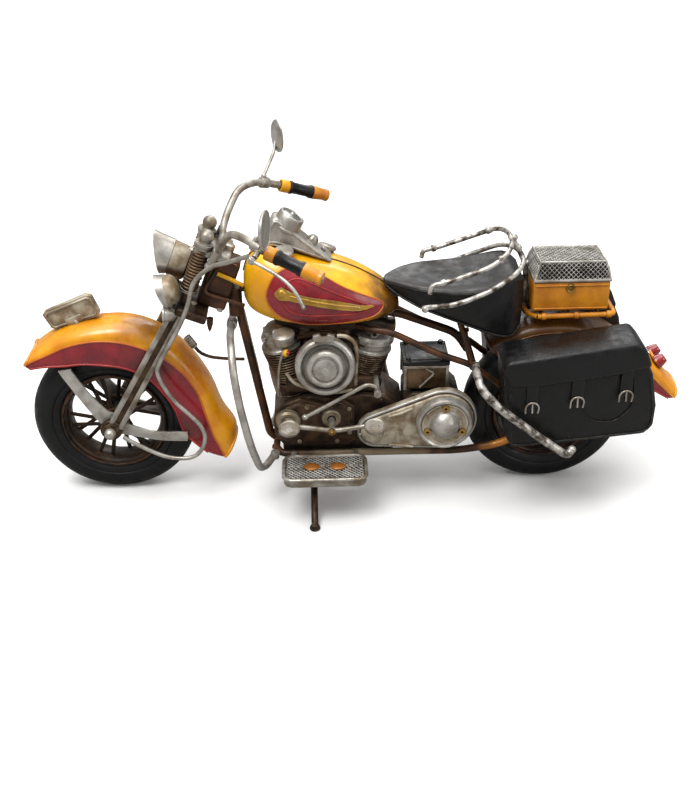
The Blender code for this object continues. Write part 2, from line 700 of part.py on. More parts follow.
def make_air_cleaner():
    profile = [(0.0, 9.6), (6.6, 9.2), (7.0, 8.0), (10.8, 7.4), (11.4, 6.0), (15.6, 5.4), (16.5, 4.0), (16.5, 0.6),
               (15.8, 0.0), (0.0, 0.0)]
    axis = Vector((0, -math.cos(math.radians(10)), math.sin(math.radians(10))))
    disc = lathe(profile, (-19, -25.5, 91.6), axis, "disc", 18)
    throat = tube([(-19, -27, 92), (-17, -2, 92)], 5.0, "throat", resolution=1)
    bowl = cylinder((-17.5, -8, 80), (-17.5, -8, 92), 5.2, 12)
    return finish(fuse(disc, throat, bowl), "air_cleaner", SILVER)


def make_cam_cover():
    outline = [(-49, 41), (-44, 35), (-6, 35), (-2, 38), (-2, 60), (-10, 66), (-20, 62), (-34, 66.5), (-45, 62),
               (-50, 52)]
    cover = plate(outline, -20.6, -16.3, "cover")
    pivot_x, pivot_z = PEDAL_PIVOT.x, PEDAL_PIVOT.z
    boss = cylinder((-41, -19, 53), (-41, -24.4, 53), 7.0, 16, 6.2)
    ring = cylinder((pivot_x, -19, pivot_z), (pivot_x, -24.4, pivot_z), 5.6, 16, 5.0)
    cover = fuse(cover, boss, ring)
    cover = cut(cover, cylinder((pivot_x, -20.9, pivot_z), (pivot_x, -26, pivot_z), 2.1, 12))
    return finish(cover, "cam_cover", SILVER)


def make_primary_cover():
    outline = belt((9.5, 47.5), 10.8, (48.5, 54), 19.4, 22)
    cover = plate(outline, -27.6, -21.4, "cover")
    boss = cylinder((8, -26, 46.5), (8, -29.4, 46.5), 6.2, 14, 5.6)
    return finish(fuse(cover, boss), "primary_cover", SILVER)


def make_clutch_cover():
    profile = [(0.0, 8.6), (4.5, 7.8), (7.8, 5.0), (9.0, 3.6), (13.4, 3.6), (15.2, 2.4), (16.2, 0.0), (0.0, 0.0)]
    disc = lathe(profile, (48.8, -27.9, 53.6), (0, -1, 0), "disc", 18)
    bolts = []
    for angle in (90, 210, 330):
        place = Vector((48.8 + 11.4 * math.cos(math.radians(angle)), 0, 53.6 + 11.4 * math.sin(math.radians(angle))))
        bolts.append(cylinder(place + Vector((0, -30, 0)), place + Vector((0, -32.6, 0)), 1.3, 6))
    return finish(fuse(disc, *bolts), "clutch_cover", SILVER)


def make_gearbox():
    outline = [(26.6, 38), (30, 35), (54, 35), (60, 42), (60, 60), (54, 66), (31, 66), (26.6, 62)]
    case = plate(outline, -15.6, 15.6, "case")
    shaft = cylinder((48.8, -15, 53.6), (48.8, -21.1, 53.6), 7.0, 14)
    return finish(fuse(case, shaft), "gearbox", SILVER)


def make_oil_tank():
    box = block((26.8, -14.6, 68), (51, 10, 84), "box", 1.0)
    lid = block((25.4, -15.6, 83.4), (52.4, 11, 86.4), "lid", 0.6)
    bolts = []
    for x in (28.6, 49.2):
        for y in (-12.6, 8.0):
            bolts.append(cylinder((x, y, 86), (x, y, 88), 1.6, 6))
    return finish(fuse(box, lid, *bolts), "oil_tank", BLACK)


def make_exhaust():
    front = tube([(-50, 14.2, 92), (-52, 22.6, 89), (-50, 23.2, 60), (-44, 23.4, 37), (-30, 23.4, 34.6),
                  (58, 26, 35), (76, 28, 35)], 3.1, "front_pipe", 12, 1, 1)
    rear = tube([(10, 14.2, 89), (13, 22.6, 86), (16, 23.2, 60), (24, 24.2, 37), (40, 25.4, 34.8)], 3.1, "rear_pipe",
                12, 1, 1)
    profile = [(0.0, 72), (4.6, 84), (6.0, 84), (6.6, 78), (6.6, 6), (3.4, 0), (0.0, 0)]
    silencer = lathe(profile, (73, 28, 35), (1, 0.02, 0.03), "silencer", 14)
    return finish(fuse(silencer, front, rear), "exhaust", SILVER)


# ---------------------------------------------------------------- controls

def make_floorboard(side, name):
    inner, outer = 28.0, 53.0
    slab = block((-44, min(side * inner, side * outer), 27), (3, max(side * inner, side * outer), 33.4), "slab", 2.4)
    arms = []
    for x in (-38.5, -2):
        arms.append(cylinder((x, side * 30, 30), (x, side * 18.9, 29), 1.6, 8))
    return finish(fuse(slab, *arms), name, SILVER)


def make_kickstand():
    along = (STAND_FOOT - STAND_PIVOT).normalized()
    axis = Vector((0, along.z, -along.y)).normalized()
    leg = cylinder(STAND_PIVOT, STAND_FOOT, 2.0, 10)
    head = cylinder(STAND_PIVOT - axis * 2.4, STAND_PIVOT + axis * 2.4, 2.7, 12)
    foot = cylinder((-27, -55, 0), (-27, -55, 2.6), 3.6, 12)
    return finish(fuse(leg, head, foot), "kickstand", SILVER, STAND_PIVOT)


def make_rocker_pedal():
    bar = tube([(-41, -36.4, 58.5), (-28, -36.4, 57), (-16, -36.4, 54.6), (-2, -36.4, 56.5), (8, -36.4, 58.5)], 1.4,
               "bar", 6, 1, 1)
    shaft = cylinder((-16, -37.6, 55), (-16, -21.2, 55), 1.7, 10)
    pads = []
    for x in (-40, 8):
        pads.append(cylinder((x, -40.5, 58.4), (x, -40.9, 60.6), 5.6, 12))
    return finish(fuse(bar, shaft, *pads), "rocker_pedal", SILVER, PEDAL_PIVOT)


def make_shift_rod():
    y = -32.2
    rod = tube([(-31, y, 61.5), (4, y, 82), (9.4, y, 80.5), (10, y, 76)], 1.1, "rod", 4, 1, 0)
    shaft = cylinder((10, y - 1.4, 76), (10, -13.2, 76), 1.5, 10)
    knob = ball((-31, y, 61.5), 1.7, "knob", detail=(8, 6))
    return finish(fuse(shaft, rod, knob), "shift_rod", SILVER, ROD_PIVOT)


# ---------------------------------------------------------------- seat and luggage

def make_seat():
    stations = [
        (15.5, 129.7, 132.2, 4), (20, 127.2, 133, 9), (26, 124.8, 133.4, 14.5), (35, 121.4, 133.4, 20),
        (47, 117.6, 133, 24), (60, 113, 133.4, 26), (71, 108.5, 135.2, 26.2), (80, 105.2, 137.6, 24.4),
        (86, 104.6, 138.6, 20.5), (91, 108, 136, 14),
    ]
    rings = []
    for x, low, high, wide in stations:
        tall = high - low
        half = [
            (wide * 0.9, low), (wide, low + tall * 0.5), (wide * 0.97, low + tall * 0.82),
            (wide * 0.84, high - tall * 0.04), (wide * 0.45, high),
        ]
        rings.append([(x, -y, z) for y, z in half] + [(x, y, z) for y, z in half[::-1]])
    return finish(loft(rings, "seat"), "seat", BLACK)


def make_seat_rail():
    left = [(35.6, -28.4, 125.4), (37.4, -26.4, 135.4), (52, -25.8, 140), (70, -24.8, 145.4), (80, -20, 151.6),
            (84.5, -8, 155)]
    upper = left + [(x, -y, z) for x, y, z in left[::-1]]
    pieces = []
    for side in (-1, 1):
        lower = [(35.8, side * 28.4, 126.4), (52, side * 28.8, 127.6), (70, side * 28.2, 134.6),
                 (84, side * 23.4, 141.6), (90.6, side * 12, 143.6), (91.6, 0, 144.2)]
        pieces.append(tube(lower, 1.5, "lower", 7, 1, 1))
    post = tube([(84.4, 0, 155), (89.6, 0, 147.6), (94.5, 0, 137), (94.5, 0, 115.4)], 1.5, "post", 6, 1, 1)
    return finish(fuse(tube(upper, 1.5, "upper", 8, 1, 1), post, *pieces), "seat_rail", SILVER)


def make_luggage_rack():
    loop = [(100, -15, 113), (143, -15, 113.6), (143, 15, 113.6), (100, 15, 113), (94.5, 9, 113), (94.5, -9, 113)]
    ring = tube(loop + [loop[0]], 1.5, "loop", 4, 1, 1)
    bars = [tube([(x, -15.4, 113), (x, 15.4, 113)], 1.3, "bar", resolution=1) for x in (103, 118, 134)]
    feet = [cylinder((x, 0, 113), (x, 0, foot), 1.8, 8) for x, foot in ((103, 109.2), (118, 109.2))]
    return finish(fuse(ring, *bars, *feet), "luggage_rack", YELLOW)


def make_luggage_box():
    half = BOX_HALF_WIDTH
    box = block((BOX_FRONT, -half, BOX_BOTTOM), (BOX_REAR, half, BOX_TOP), "box", 0.9)
    return finish(box, "luggage_box", YELLOW)


def make_luggage_lid():
    half = BOX_HALF_WIDTH
    low, mid, high = 133.2, 134.6, LID_TOP
    front, rear = BOX_FRONT + 0.4, BOX_REAR

    def ring(x0, x1, y, z):
        return [(x0, -y, z), (x1, -y, z), (x1, y, z), (x0, y, z)]

    lid = loft([
        ring(front, rear, half, low), ring(front, rear, half, mid), ring(front + 1.5, rear - 1.5, half - 1.5, 141.0),
        ring(front + 3.2, rear - 3.2, half - 3.0, high),
    ], "lid")
    knuckles = []
    for x in (103, 131):
        knuckles.append(cylinder((x, LID_HINGE.y, LID_HINGE.z), (x + 5, LID_HINGE.y, LID_HINGE.z), 1.3, 10))
        knuckles.append(block((x, half - 2, 133.5), (x + 5, LID_HINGE.y, 134.6)))
    latch = cylinder((117.7, -half + 0.6, 136.4), (117.7, -half - 2.2, 135.8), 2.0, 10)
    return finish(fuse(lid, latch, *knuckles), "luggage_lid", SILVER, LID_HINGE)


BAG_OUTLINE = [(81.5, 52), (86, 47.6), (113, 50), (137, 52.6), (158, 54.8), (162.6, 60), (162.6, 73), (158.5, 92),
               (151, 108), (147, 110.4), (80, 100.4), (77.2, 96)]
FLAP_OUTLINE = [(80, 87.5), (96, 87.6), (113, 90), (139, 94), (156.6, 98.6), (152.4, 108.4), (148, 113.4), (78.6, 103.2),
                (76, 99)]


def make_saddlebag(side, name):
    body = plate(BAG_OUTLINE, -48.6, -23.4, "body")
    flap = plate(FLAP_OUTLINE, -50.6, -24.2, "flap")
    for piece in (body, flap):
        rounding = piece.modifiers.new("rounded_edges", "BEVEL")
        rounding.width = 1.6 * MM
        rounding.segments = 1
        rounding.angle_limit = math.radians(60)
    bag = fuse(baked(body), baked(flap))
    if side > 0:
        bag = replace_by_mirror(bag)
    return finish(bag, name, BLACK)


def replace_by_mirror(piece):
    made = mirror_copy(piece, piece.name + "_other")
    bpy.data.objects.remove(piece)
    return made


def make_bag_guard(side, name):
    path = [(66, side * 22, 87), (63.5, side * 40, 92), (65, side * 53.4, 88), (75, side * 54, 77),
            (100, side * 54, 56.5), (113, side * 53.8, 46.8), (117, side * 50.5, 44.4)]
    return finish(tube(path, 1.8, name, 9, 2, 1), name, SILVER)


REAR_CROWN = [(8, 77), (15, 73), (31, 66), (45, 62.5), (70, 60.6), (90, 60), (128, 60)]
REAR_SHOULDER = [(8, 70), (15, 65), (31, 58.5), (45, 55.5), (90, 54), (128, 54)]
REAR_SKIRT = [(8, 67), (15, 60), (31, 52), (45, 48.5), (90, 47), (128, 47)]


def make_rear_fender():
    angles = [8, 15, 26, 40, 55, 70, 88, 106, 128]
    sheet = mudguard(REAR_AXLE, angles, REAR_CROWN, REAR_SHOULDER, REAR_SKIRT, 14.2, 1.0, "rear_fender")
    return finish(sheet, "rear_fender", YELLOW)


def make_tail_light():
    angle, facing = 26, 40
    out = Vector((math.cos(math.radians(facing)), 0, math.sin(math.radians(facing))))
    place = Vector(polar(REAR_AXLE, line_at(REAR_CROWN, angle), angle, 0)) + out * 0.5
    base = bend_axis_block(place + out * 1.0, (1.0, 9.5, 3.4), -facing, "base")
    lamps = []
    for side in (-1, 1):
        centre = place + Vector((0, side * 6.2, 0))
        profile = [(0.0, 8.4), (2.8, 7.6), (3.6, 4.4), (4.0, 2.0), (4.0, 0.6), (0.0, 0.6)]
        lamps.append(lathe(profile, centre, out, "lamp", 8))
    return finish(fuse(base, *lamps), "tail_light", RED)


# ---------------------------------------------------------------- assembly

def build():
    make_tyre(FRONT_AXLE, "front_tyre")
    make_rim(FRONT_AXLE, "front_rim")
    make_tyre(REAR_AXLE, "rear_tyre")
    make_rim(REAR_AXLE, "rear_rim")
    make_axle(FRONT_AXLE, 24.0, 20.5, "front_axle")
    make_axle(REAR_AXLE, 21.8, 18.9, "rear_axle")
    make_fork()
    make_spring(-1, "spring_left")
    make_spring(1, "spring_right")
    make_handlebar()
    make_grip(-1, "grip_left")
    make_grip(1, "grip_right")
    make_lever(-1, "lever_left")
    make_lever(1, "lever_right")
    make_mirror(-1, "mirror_left")
    make_mirror(1, "mirror_right")
    make_headlight()
    make_spotlight(-1, "spotlight_left")
    make_spotlight(1, "spotlight_right")
    make_front_fender()
    make_number_plate()
    make_brake_cable()
    make_main_frame()
    make_neck_box()
    make_crash_bar()
    make_tank_half(-1, "fuel_tank_left")
    make_tank_half(1, "fuel_tank_right")
    make_dash_console()
    make_gauge()
    make_fuel_cap(-40, -1, 151.6, 4, "fuel_cap_left")
    make_fuel_cap(-19, 1, 145.4, 14, "fuel_cap_right")
    make_crankcase()
    make_cylinder_barrel(FRONT_BASE, FRONT_LEAN, FRONT_HEIGHT, "front_cylinder")
    make_cylinder_barrel(REAR_BASE, REAR_LEAN, REAR_HEIGHT, "rear_cylinder")
    make_head(FRONT_BASE, FRONT_LEAN, FRONT_HEIGHT, "front_head")
    make_head(REAR_BASE, REAR_LEAN, REAR_HEIGHT, "rear_head")
    make_air_cleaner()
    make_cam_cover()
    make_primary_cover()
    make_clutch_cover()
    make_gearbox()
    make_oil_tank()
    make_exhaust()
    make_floorboard(-1, "floorboard_left")
    make_floorboard(1, "floorboard_right")
    make_kickstand()
    make_rocker_pedal()
    make_shift_rod()
    make_seat()
    make_seat_rail()
    make_luggage_rack()
    make_luggage_box()
    make_luggage_lid()
    make_saddlebag(-1, "saddlebag_left")
    make_saddlebag(1, "saddlebag_right")
    make_bag_guard(-1, "bag_guard_left")
    make_bag_guard(1, "bag_guard_right")
    make_rear_fender()
    make_tail_light()


clear_scene()
BIKE = bpy.data.collections.new("tin_motorcycle")
bpy.context.scene.collection.children.link(BIKE)
build()
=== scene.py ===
"""Looks of the tin model motorcycle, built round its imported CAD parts.

Lengths are drawing millimetres: the front is towards -X, the left side towards -Y and the ground is at Z 0.
Each make_ function shapes one CAD piece and the small things fixed to it, and show() ties them to that piece.
"""

import json
import math

import bmesh
import bpy
from mathutils import Matrix, Vector
from mathutils.bvhtree import BVHTree


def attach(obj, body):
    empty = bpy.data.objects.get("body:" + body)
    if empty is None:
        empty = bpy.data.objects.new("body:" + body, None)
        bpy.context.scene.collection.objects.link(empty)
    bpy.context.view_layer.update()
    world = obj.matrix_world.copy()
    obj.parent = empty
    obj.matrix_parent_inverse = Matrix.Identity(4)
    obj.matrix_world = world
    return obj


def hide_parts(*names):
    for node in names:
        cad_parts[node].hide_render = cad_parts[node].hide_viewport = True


MM = 0.001
CENTRE = 2.775  # where the drawing's X 0 lies along X in the CAD's frame

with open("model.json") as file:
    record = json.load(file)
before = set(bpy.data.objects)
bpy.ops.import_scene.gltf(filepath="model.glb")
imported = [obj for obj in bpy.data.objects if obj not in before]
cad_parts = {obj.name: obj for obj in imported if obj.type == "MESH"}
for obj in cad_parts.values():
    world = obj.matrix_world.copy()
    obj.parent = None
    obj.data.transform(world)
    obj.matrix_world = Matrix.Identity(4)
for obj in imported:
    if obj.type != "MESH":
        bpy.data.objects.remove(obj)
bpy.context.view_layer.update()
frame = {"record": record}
BODY_OF = {}
for body_name, members in frame["record"]["behaviour"]["bodies"].items():
    for member in members:
        BODY_OF[member] = body_name
SHEET = bpy.data.collections.new("looks")
bpy.context.scene.collection.children.link(SHEET)

TYRE_RADIUS = 48.2
TREAD_FLATS = 30  # the tyre stands on one of the flats round its tread
AXLE_HEIGHT = TYRE_RADIUS * math.cos(math.pi / TREAD_FLATS)
FRONT_AXLE = Vector((-144.5, 0, AXLE_HEIGHT))
REAR_AXLE = Vector((110.9, 0, AXLE_HEIGHT))
RAKE = math.radians(22)
STEER_AXIS = Vector((math.sin(RAKE), 0, math.cos(RAKE)))
STEER_POINT = Vector((-84, 0, 122))
SIDES = (("left", -1), ("right", 1))


# ---------------------------------------------------------------- finishes

def linear(colour):
    """Linear RGBA of a display colour given as 0 to 255."""
    parts = [c / 255 for c in colour]
    return tuple(c / 12.92 if c <= 0.04045 else ((c + 0.055) / 1.055) ** 2.4 for c in parts) + (1.0,)


class Tree:
    """A short way to write a material's node tree."""

    def __init__(self, name):
        self.material = bpy.data.materials.new(name)
        self.material.use_nodes = True
        self.nodes = self.material.node_tree.nodes
        self.shader = self.nodes["Principled BSDF"]
        self.where = self.add("ShaderNodeTexCoord").outputs["Object"]

    def add(self, kind, settings=None, **inputs):
        node = self.nodes.new(kind)
        for key, value in (settings or {}).items():
            setattr(node, key, value)
        for key, value in inputs.items():
            self.put(node.inputs[key.replace("_", " ")], value)
        return node

    def put(self, socket, value):
        """Links another node's output to this input, or sets its value."""
        if isinstance(value, bpy.types.NodeSocket):
            self.material.node_tree.links.new(value, socket)
        else:
            socket.default_value = value

    def noise(self, size, detail=4.0):
        """Noise whose patches are this many millimetres across."""
        node = self.add("ShaderNodeTexNoise", Vector=self.where, Scale=1 / (size * MM), Detail=detail)
        return node.outputs["Fac"]

    def ramp(self, value, low, high, out_low=0.0, out_high=1.0):
        """A smooth step: out_low where value is low or less, out_high where it is high or more."""
        node = self.add("ShaderNodeMapRange", {"interpolation_type": "SMOOTHSTEP"}, Value=value)
        for index, number in zip((1, 2, 3, 4), (low, high, out_low, out_high)):
            self.put(node.inputs[index], number)
        return node.outputs[0]

    def maths(self, operation, a, b=0.0):
        node = self.add("ShaderNodeMath", {"operation": operation})
        self.put(node.inputs[0], a)
        self.put(node.inputs[1], b)
        return node.outputs[0]

    def mix(self, factor, a, b):
        """Colour a where factor is 0 and b where it is 1."""
        node = self.add("ShaderNodeMix", {"data_type": "RGBA"})
        self.put(node.inputs[0], factor)
        self.put(node.inputs[6], linear(a) if isinstance(a, tuple) else a)
        self.put(node.inputs[7], linear(b) if isinstance(b, tuple) else b)
        return node.outputs[2]

    def crease(self, reach):
        """1 deep in a crease, 0 in the open, looking this many millimetres round."""
        node = self.add("ShaderNodeAmbientOcclusion", {"samples": 4}, Distance=reach * MM)
        return self.maths("SUBTRACT", 1.0, node.outputs["AO"])

    def edge(self, radius):
        """1 on a sharp edge, falling to 0 this many millimetres away."""
        bevel = self.add("ShaderNodeBevel", {"samples": 4}, Radius=radius * MM).outputs[0]
        normal = self.add("ShaderNodeNewGeometry").outputs["Normal"]
        dot = self.add("ShaderNodeVectorMath", {"operation": "DOT_PRODUCT"})
        self.put(dot.inputs[0], bevel)
        self.put(dot.inputs[1], normal)
        return self.ramp(dot.outputs["Value"], 0.995, 0.8)

    def near(self, point, inner, outer):
        """1 within inner millimetres of a point, falling to 0 at outer, with a ragged border."""
        place = self.add("ShaderNodeVectorMath", {"operation": "DISTANCE"})
        self.put(place.inputs[0], self.where)
        place.inputs[1].default_value = (Vector(point) + Vector((CENTRE, 0, 0))) * MM
        ragged = self.maths("MULTIPLY", self.maths("SUBTRACT", self.noise(9), 0.5),
                            (outer - inner) * 1.2 * MM)
        return self.ramp(self.maths("ADD", place.outputs["Value"], ragged), inner * MM, outer * MM, 1.0, 0.0)


def finish_of(name, main, second, grime_and_shade, wear_and_sheen, rough=0.35, metal=0.0, aged=0.5, worn=0.5, bump=0.25, shade_and_tint_spots=(),
              patch=14.0, grain=0.9, coat=0.0, reach=5.0, spec=0.5):
    """An aged finish with painted shade: two drifting tones, grime and painted shade in creases, dirt in
    specks, worn edges, and local spots of colour, which paint shade on the paints and tint the frame's brown.

    aged and worn run from 0 to 1, and aged also sets the strength of the painted crease shade, which the
    grime colour paints; patch, grain and reach are millimetres, reach being how far round the crease shade
    looks; each spot is a place, the radii where it is full and gone, its colour and its strength.
    """
    tree = Tree(name)
    tone = tree.mix(tree.ramp(tree.noise(patch), 0.38, 0.66), main, second)
    # Local spots of colour round given places: on the paints they darken where other parts overhang or stand
    # close, as painted shade; on the frame's brown they tint it lighter.
    for point, inner, outer, colour, strength in shade_and_tint_spots:
        tone = tree.mix(tree.maths("MULTIPLY", tree.near(point, inner, outer), strength), tone, colour)
    # Painted shade: ambient occlusion darkens the colour towards the grime colour deep in creases and between
    # parts, standing for grime and for the shade that falls there.
    deep = tree.maths("MULTIPLY", tree.ramp(tree.crease(reach), 0.18, 0.72), min(1.0, aged * 1.6))
    clouds = tree.ramp(tree.noise(patch * 0.6, 6.0), 0.62 - aged * 0.12, 0.74)
    specks = tree.ramp(tree.noise(grain * 1.6, 3.0), 0.62, 0.70)
    dirt = tree.maths("MULTIPLY", tree.maths("MULTIPLY", clouds, specks), min(1.0, aged * 1.3))
    wash = tree.maths("MULTIPLY", clouds, aged * 0.45)
    tone = tree.mix(tree.maths("MAXIMUM", tree.maths("MAXIMUM", deep, dirt), wash), tone, grime_and_shade)
    # Worn edges, rubbed towards the wear colour; on the frame's brown this colour also stands for an orange
    # sheen: painted highlight.
    rub = tree.maths("MULTIPLY", tree.edge(0.7), tree.ramp(tree.noise(4.0, 5.0), 0.40, 0.58))
    tone = tree.mix(tree.maths("MULTIPLY", rub, worn), tone, wear_and_sheen)
    tree.put(tree.shader.inputs["Base Color"], tone)
    uneven = tree.ramp(tree.noise(5.0, 5.0), 0.3, 0.7, rough * 0.75, min(1.0, rough * 1.45))
    tree.put(tree.shader.inputs["Roughness"],
             tree.maths("MAXIMUM", uneven, tree.maths("MULTIPLY", deep, 0.7)))
    cleaner = tree.maths("MULTIPLY", tree.maths("SUBTRACT", 1.0, tree.maths("MAXIMUM", deep, dirt)), metal)
    tree.put(tree.shader.inputs["Metallic"], cleaner)
    tree.shader.inputs["Specular IOR Level"].default_value = spec
    tree.shader.inputs["Coat Weight"].default_value = coat
    tree.shader.inputs["Coat Roughness"].default_value = 0.15
    height = tree.maths("ADD", tree.noise(grain, 3.0), tree.maths("MULTIPLY", tree.noise(6.0, 2.0), 1.5))
    relief = tree.add("ShaderNodeBump", Height=height, Strength=bump, Distance=0.25 * MM)
    tree.put(tree.shader.inputs["Normal"], relief.outputs[0])
    return tree.material


# Grime colour of the amber paints; it also paints the shade in their creases.
SMOKY_GRIME_AND_SHADE = (74, 42, 12)
# Front mudguard paint. Its first spot darkens the crown under the lamps and between the fork legs: painted
# shade; the second makes its rear part a darker orange.
amber = finish_of("amber_paint", (232, 158, 18), (214, 132, 12), SMOKY_GRIME_AND_SHADE, (120, 60, 20), 0.30, 0.0, 0.30, 0.5,
                  0.15, coat=0.35, shade_and_tint_spots=[((-118, -8, 116), 6, 26, (70, 40, 14), 0.75),
                                         ((-98, -8, 82), 3, 20, (150, 70, 16), 0.55),
                                         ((166, 0, 66), 4, 14, (120, 60, 20), 0.5),
                                         ((80, -12, 98), 8, 30, (60, 34, 12), 0.85)])
# Tank paint. Its spots darken the tail under the seat's nose, the nose by the steering head and the low side
# above the engine: painted shade.
tank_paint = finish_of(
    "tank_amber", (236, 164, 14), (250, 190, 10), SMOKY_GRIME_AND_SHADE, (120, 60, 20), 0.28, 0.0, 0.28, 0.4, 0.12, coat=0.45,
    shade_and_tint_spots=[((22, -6, 120), 8, 30, (60, 32, 10), 0.95), ((-62, -4, 128), 4, 14, (120, 64, 16), 0.7),
          ((-30, -12, 112), 4, 12, (110, 56, 14), 0.6)],
)
bright_amber = finish_of("bright_amber", (244, 190, 20), (232, 160, 14), SMOKY_GRIME_AND_SHADE, (130, 70, 20), 0.35, 0.0,
                         0.3, 0.4)
# Mudguard skirt and panel paint. Its spots darken the skirt beside the left fork leg and at its lower rear
# end by the rear stay: painted shade.
crimson = finish_of("crimson_paint", (150, 26, 38), (118, 16, 30), (44, 14, 12), (206, 92, 70), 0.24, 0.0,
                    0.35, 0.5, 0.12, coat=0.5, shade_and_tint_spots=[((-116, -14, 94), 4, 22, (56, 24, 16), 0.7),
                                                     ((-99, -14, 44), 2, 14, (70, 30, 18), 0.6)])
hem_red = finish_of("hem_red", (178, 48, 44), (150, 34, 36), (60, 20, 16), (220, 120, 90), 0.3, 0.0, 0.3, 0.5)
bead_orange = finish_of("bead_orange", (206, 108, 30), (180, 84, 24), SMOKY_GRIME_AND_SHADE, (236, 180, 90), 0.35, 0.0, 0.3,
                        0.4)
silver = finish_of("silver_tin", (184, 179, 170), (128, 116, 98), (44, 27, 14), (236, 232, 222), 0.36, 0.6,
                   0.75, 0.8, 0.4, patch=10, reach=8)
bright_silver = finish_of("bright_silver", (200, 197, 190), (158, 151, 140), (58, 38, 20), (242, 240, 234),
                          0.34, 0.65, 0.55, 0.7, 0.3, patch=11, reach=7)
streaked = finish_of("streaked_silver", (206, 202, 194), (74, 64, 54), (40, 28, 18), (240, 238, 230), 0.32,
                     0.5, 0.5, 0.6, 0.4, patch=4.5, reach=5)
cream = finish_of("cream_tin", (194, 185, 164), (134, 114, 88), (64, 36, 16), (232, 226, 210), 0.42, 0.35,
                  0.95, 0.8, 0.45, patch=8, reach=9)
copper = finish_of("copper_oval", (170, 104, 40), (138, 80, 32), (56, 32, 14), (214, 160, 90), 0.36, 0.4,
                   0.5, 0.7)
cast = finish_of("cast_alloy", (158, 146, 124), (112, 96, 76), (40, 25, 14), (210, 204, 188), 0.40, 0.7, 1.0,
                 1.0, 0.5, patch=9, reach=9)
bronze = finish_of("bronze_fins", (124, 100, 74), (80, 58, 40), (24, 15, 8), (206, 188, 156), 0.42, 0.6, 0.9,
                   1.0, 0.35, reach=7)
rusty = finish_of("rusty_brown", (84, 62, 42), (44, 30, 20), (20, 12, 7), (186, 160, 122), 0.42, 0.45, 0.8,
                  1.0, 0.6, patch=7, reach=9)
# Frame paint. Its orange worn edges stand partly for wear and partly for an orange sheen on the tubes:
# painted highlight. Its spots make the left lower rail lighter orange near its rear end and pale grey-beige
# along its middle.
brown = finish_of("aged_brown", (92, 56, 28), (54, 34, 19), (22, 13, 7), (206, 122, 46), 0.38, 0.2, 0.6, 1.0,
                  0.3, patch=9, reach=8, shade_and_tint_spots=[((92, -17, 34), 8, 24, (206, 132, 44), 0.85),
                                               ((6, -16, 27), 22, 44, (170, 152, 122), 0.75)])
neck_brown = finish_of("neck_brown", (98, 58, 30), (60, 36, 20), (28, 16, 9), (224, 142, 56), 0.38, 0.2, 0.6,
                       1.0, 0.4)
deep_amber = finish_of("deep_amber", (216, 142, 30), (186, 112, 22), SMOKY_GRIME_AND_SHADE, (120, 66, 24), 0.34, 0.0, 0.45,
                       0.5, 0.2)
# Rear mudguard paint. Its large spot darkens the crown under the box, the rack and the seat's tail: painted
# shade; a small spot darkens the side below the tail light.
rear_amber = finish_of(
    "rear_amber", (230, 152, 22), (206, 124, 18), SMOKY_GRIME_AND_SHADE, (130, 66, 22), 0.32, 0.0, 0.35, 0.5, 0.15, coat=0.3,
    shade_and_tint_spots=[((112, 0, 108), 46, 62, (62, 40, 24), 0.92), ((172, -14, 58), 3, 12, (120, 62, 20), 0.6)],
)
rim_brown = finish_of("rim_brown", (58, 42, 30), (34, 25, 18), (15, 10, 7), (150, 100, 58), 0.38, 0.4, 0.6,
                      0.9, 0.3)
gold = finish_of("gold_trim", (206, 162, 70), (166, 122, 46), (78, 46, 16), (244, 224, 160), 0.30, 0.7, 0.5,
                 0.9, 0.3)
brass = finish_of("brass", (176, 136, 66), (136, 98, 44), (56, 34, 14), (230, 200, 130), 0.3, 0.8, 0.6, 0.8,
                  0.3)
rubber = finish_of("tyre_rubber", (17, 17, 18), (12, 12, 13), (24, 20, 17), (40, 38, 36), 0.42, 0.0, 0.3,
                   0.3, 0.18, grain=0.5, spec=0.35)
black = finish_of("black_leatherette", (14, 14, 15), (9, 9, 10), (24, 18, 14), (96, 92, 86), 0.36, 0.0, 0.35,
                  0.75, 0.55, grain=0.8, spec=0.4)
band_black = finish_of("black_band", (14, 14, 14), (9, 9, 9), (30, 22, 14), (110, 102, 92), 0.32, 0.0, 0.3,
                       0.9, 0.4, spec=0.4)
seat_grey = finish_of("seat_top", (42, 40, 38), (34, 32, 31), (30, 27, 24), (120, 116, 110), 0.42, 0.0, 0.10,
                      0.5, 0.4, patch=30, grain=0.7, spec=0.45)
glass_red = finish_of("red_lens", (150, 14, 20), (112, 8, 14), (50, 8, 10), (236, 90, 80), 0.12, 0.0, 0.2,
                      0.3, 0.05, coat=0.8)
lamp_glass = finish_of("lamp_glass", (150, 150, 146), (116, 116, 112), (64, 52, 38), (230, 230, 226), 0.14,
                       0.7, 0.4, 0.4, 0.15, coat=0.6)
mirror_face = finish_of("mirror_face", (132, 127, 116), (104, 98, 86), (64, 52, 38), (220, 216, 206), 0.2,
                        0.85, 0.4, 0.5, 0.1)


# ---------------------------------------------------------------- shape helpers

def link(name, data):
    """A new object that holds this data."""
    made = bpy.data.objects.new(name, data)
    SHEET.objects.link(made)
    return made


def mesh_object(bm, sharp=35):
    """The finished bmesh as an object, with edges past sharp degrees left sharp."""
    mesh = bpy.data.meshes.new("shape")
    bm.to_mesh(mesh)
    bm.free()
    soften(mesh, sharp)
    return link("shape", mesh)


def soften(mesh, sharp):
    """Smooth shading, broken at edges past sharp degrees."""
    mesh.shade_smooth()
    mesh.set_sharp_from_angle(angle=math.radians(sharp))


def rework(made, sharp, *steps):
    """Runs bmesh steps on an object's mesh, then shades it."""
    bm = bmesh.new()
    bm.from_mesh(made.data)
    for step in steps:
        step(bm)
    bm.to_mesh(made.data)
    bm.free()
    soften(made.data, sharp)
    return made


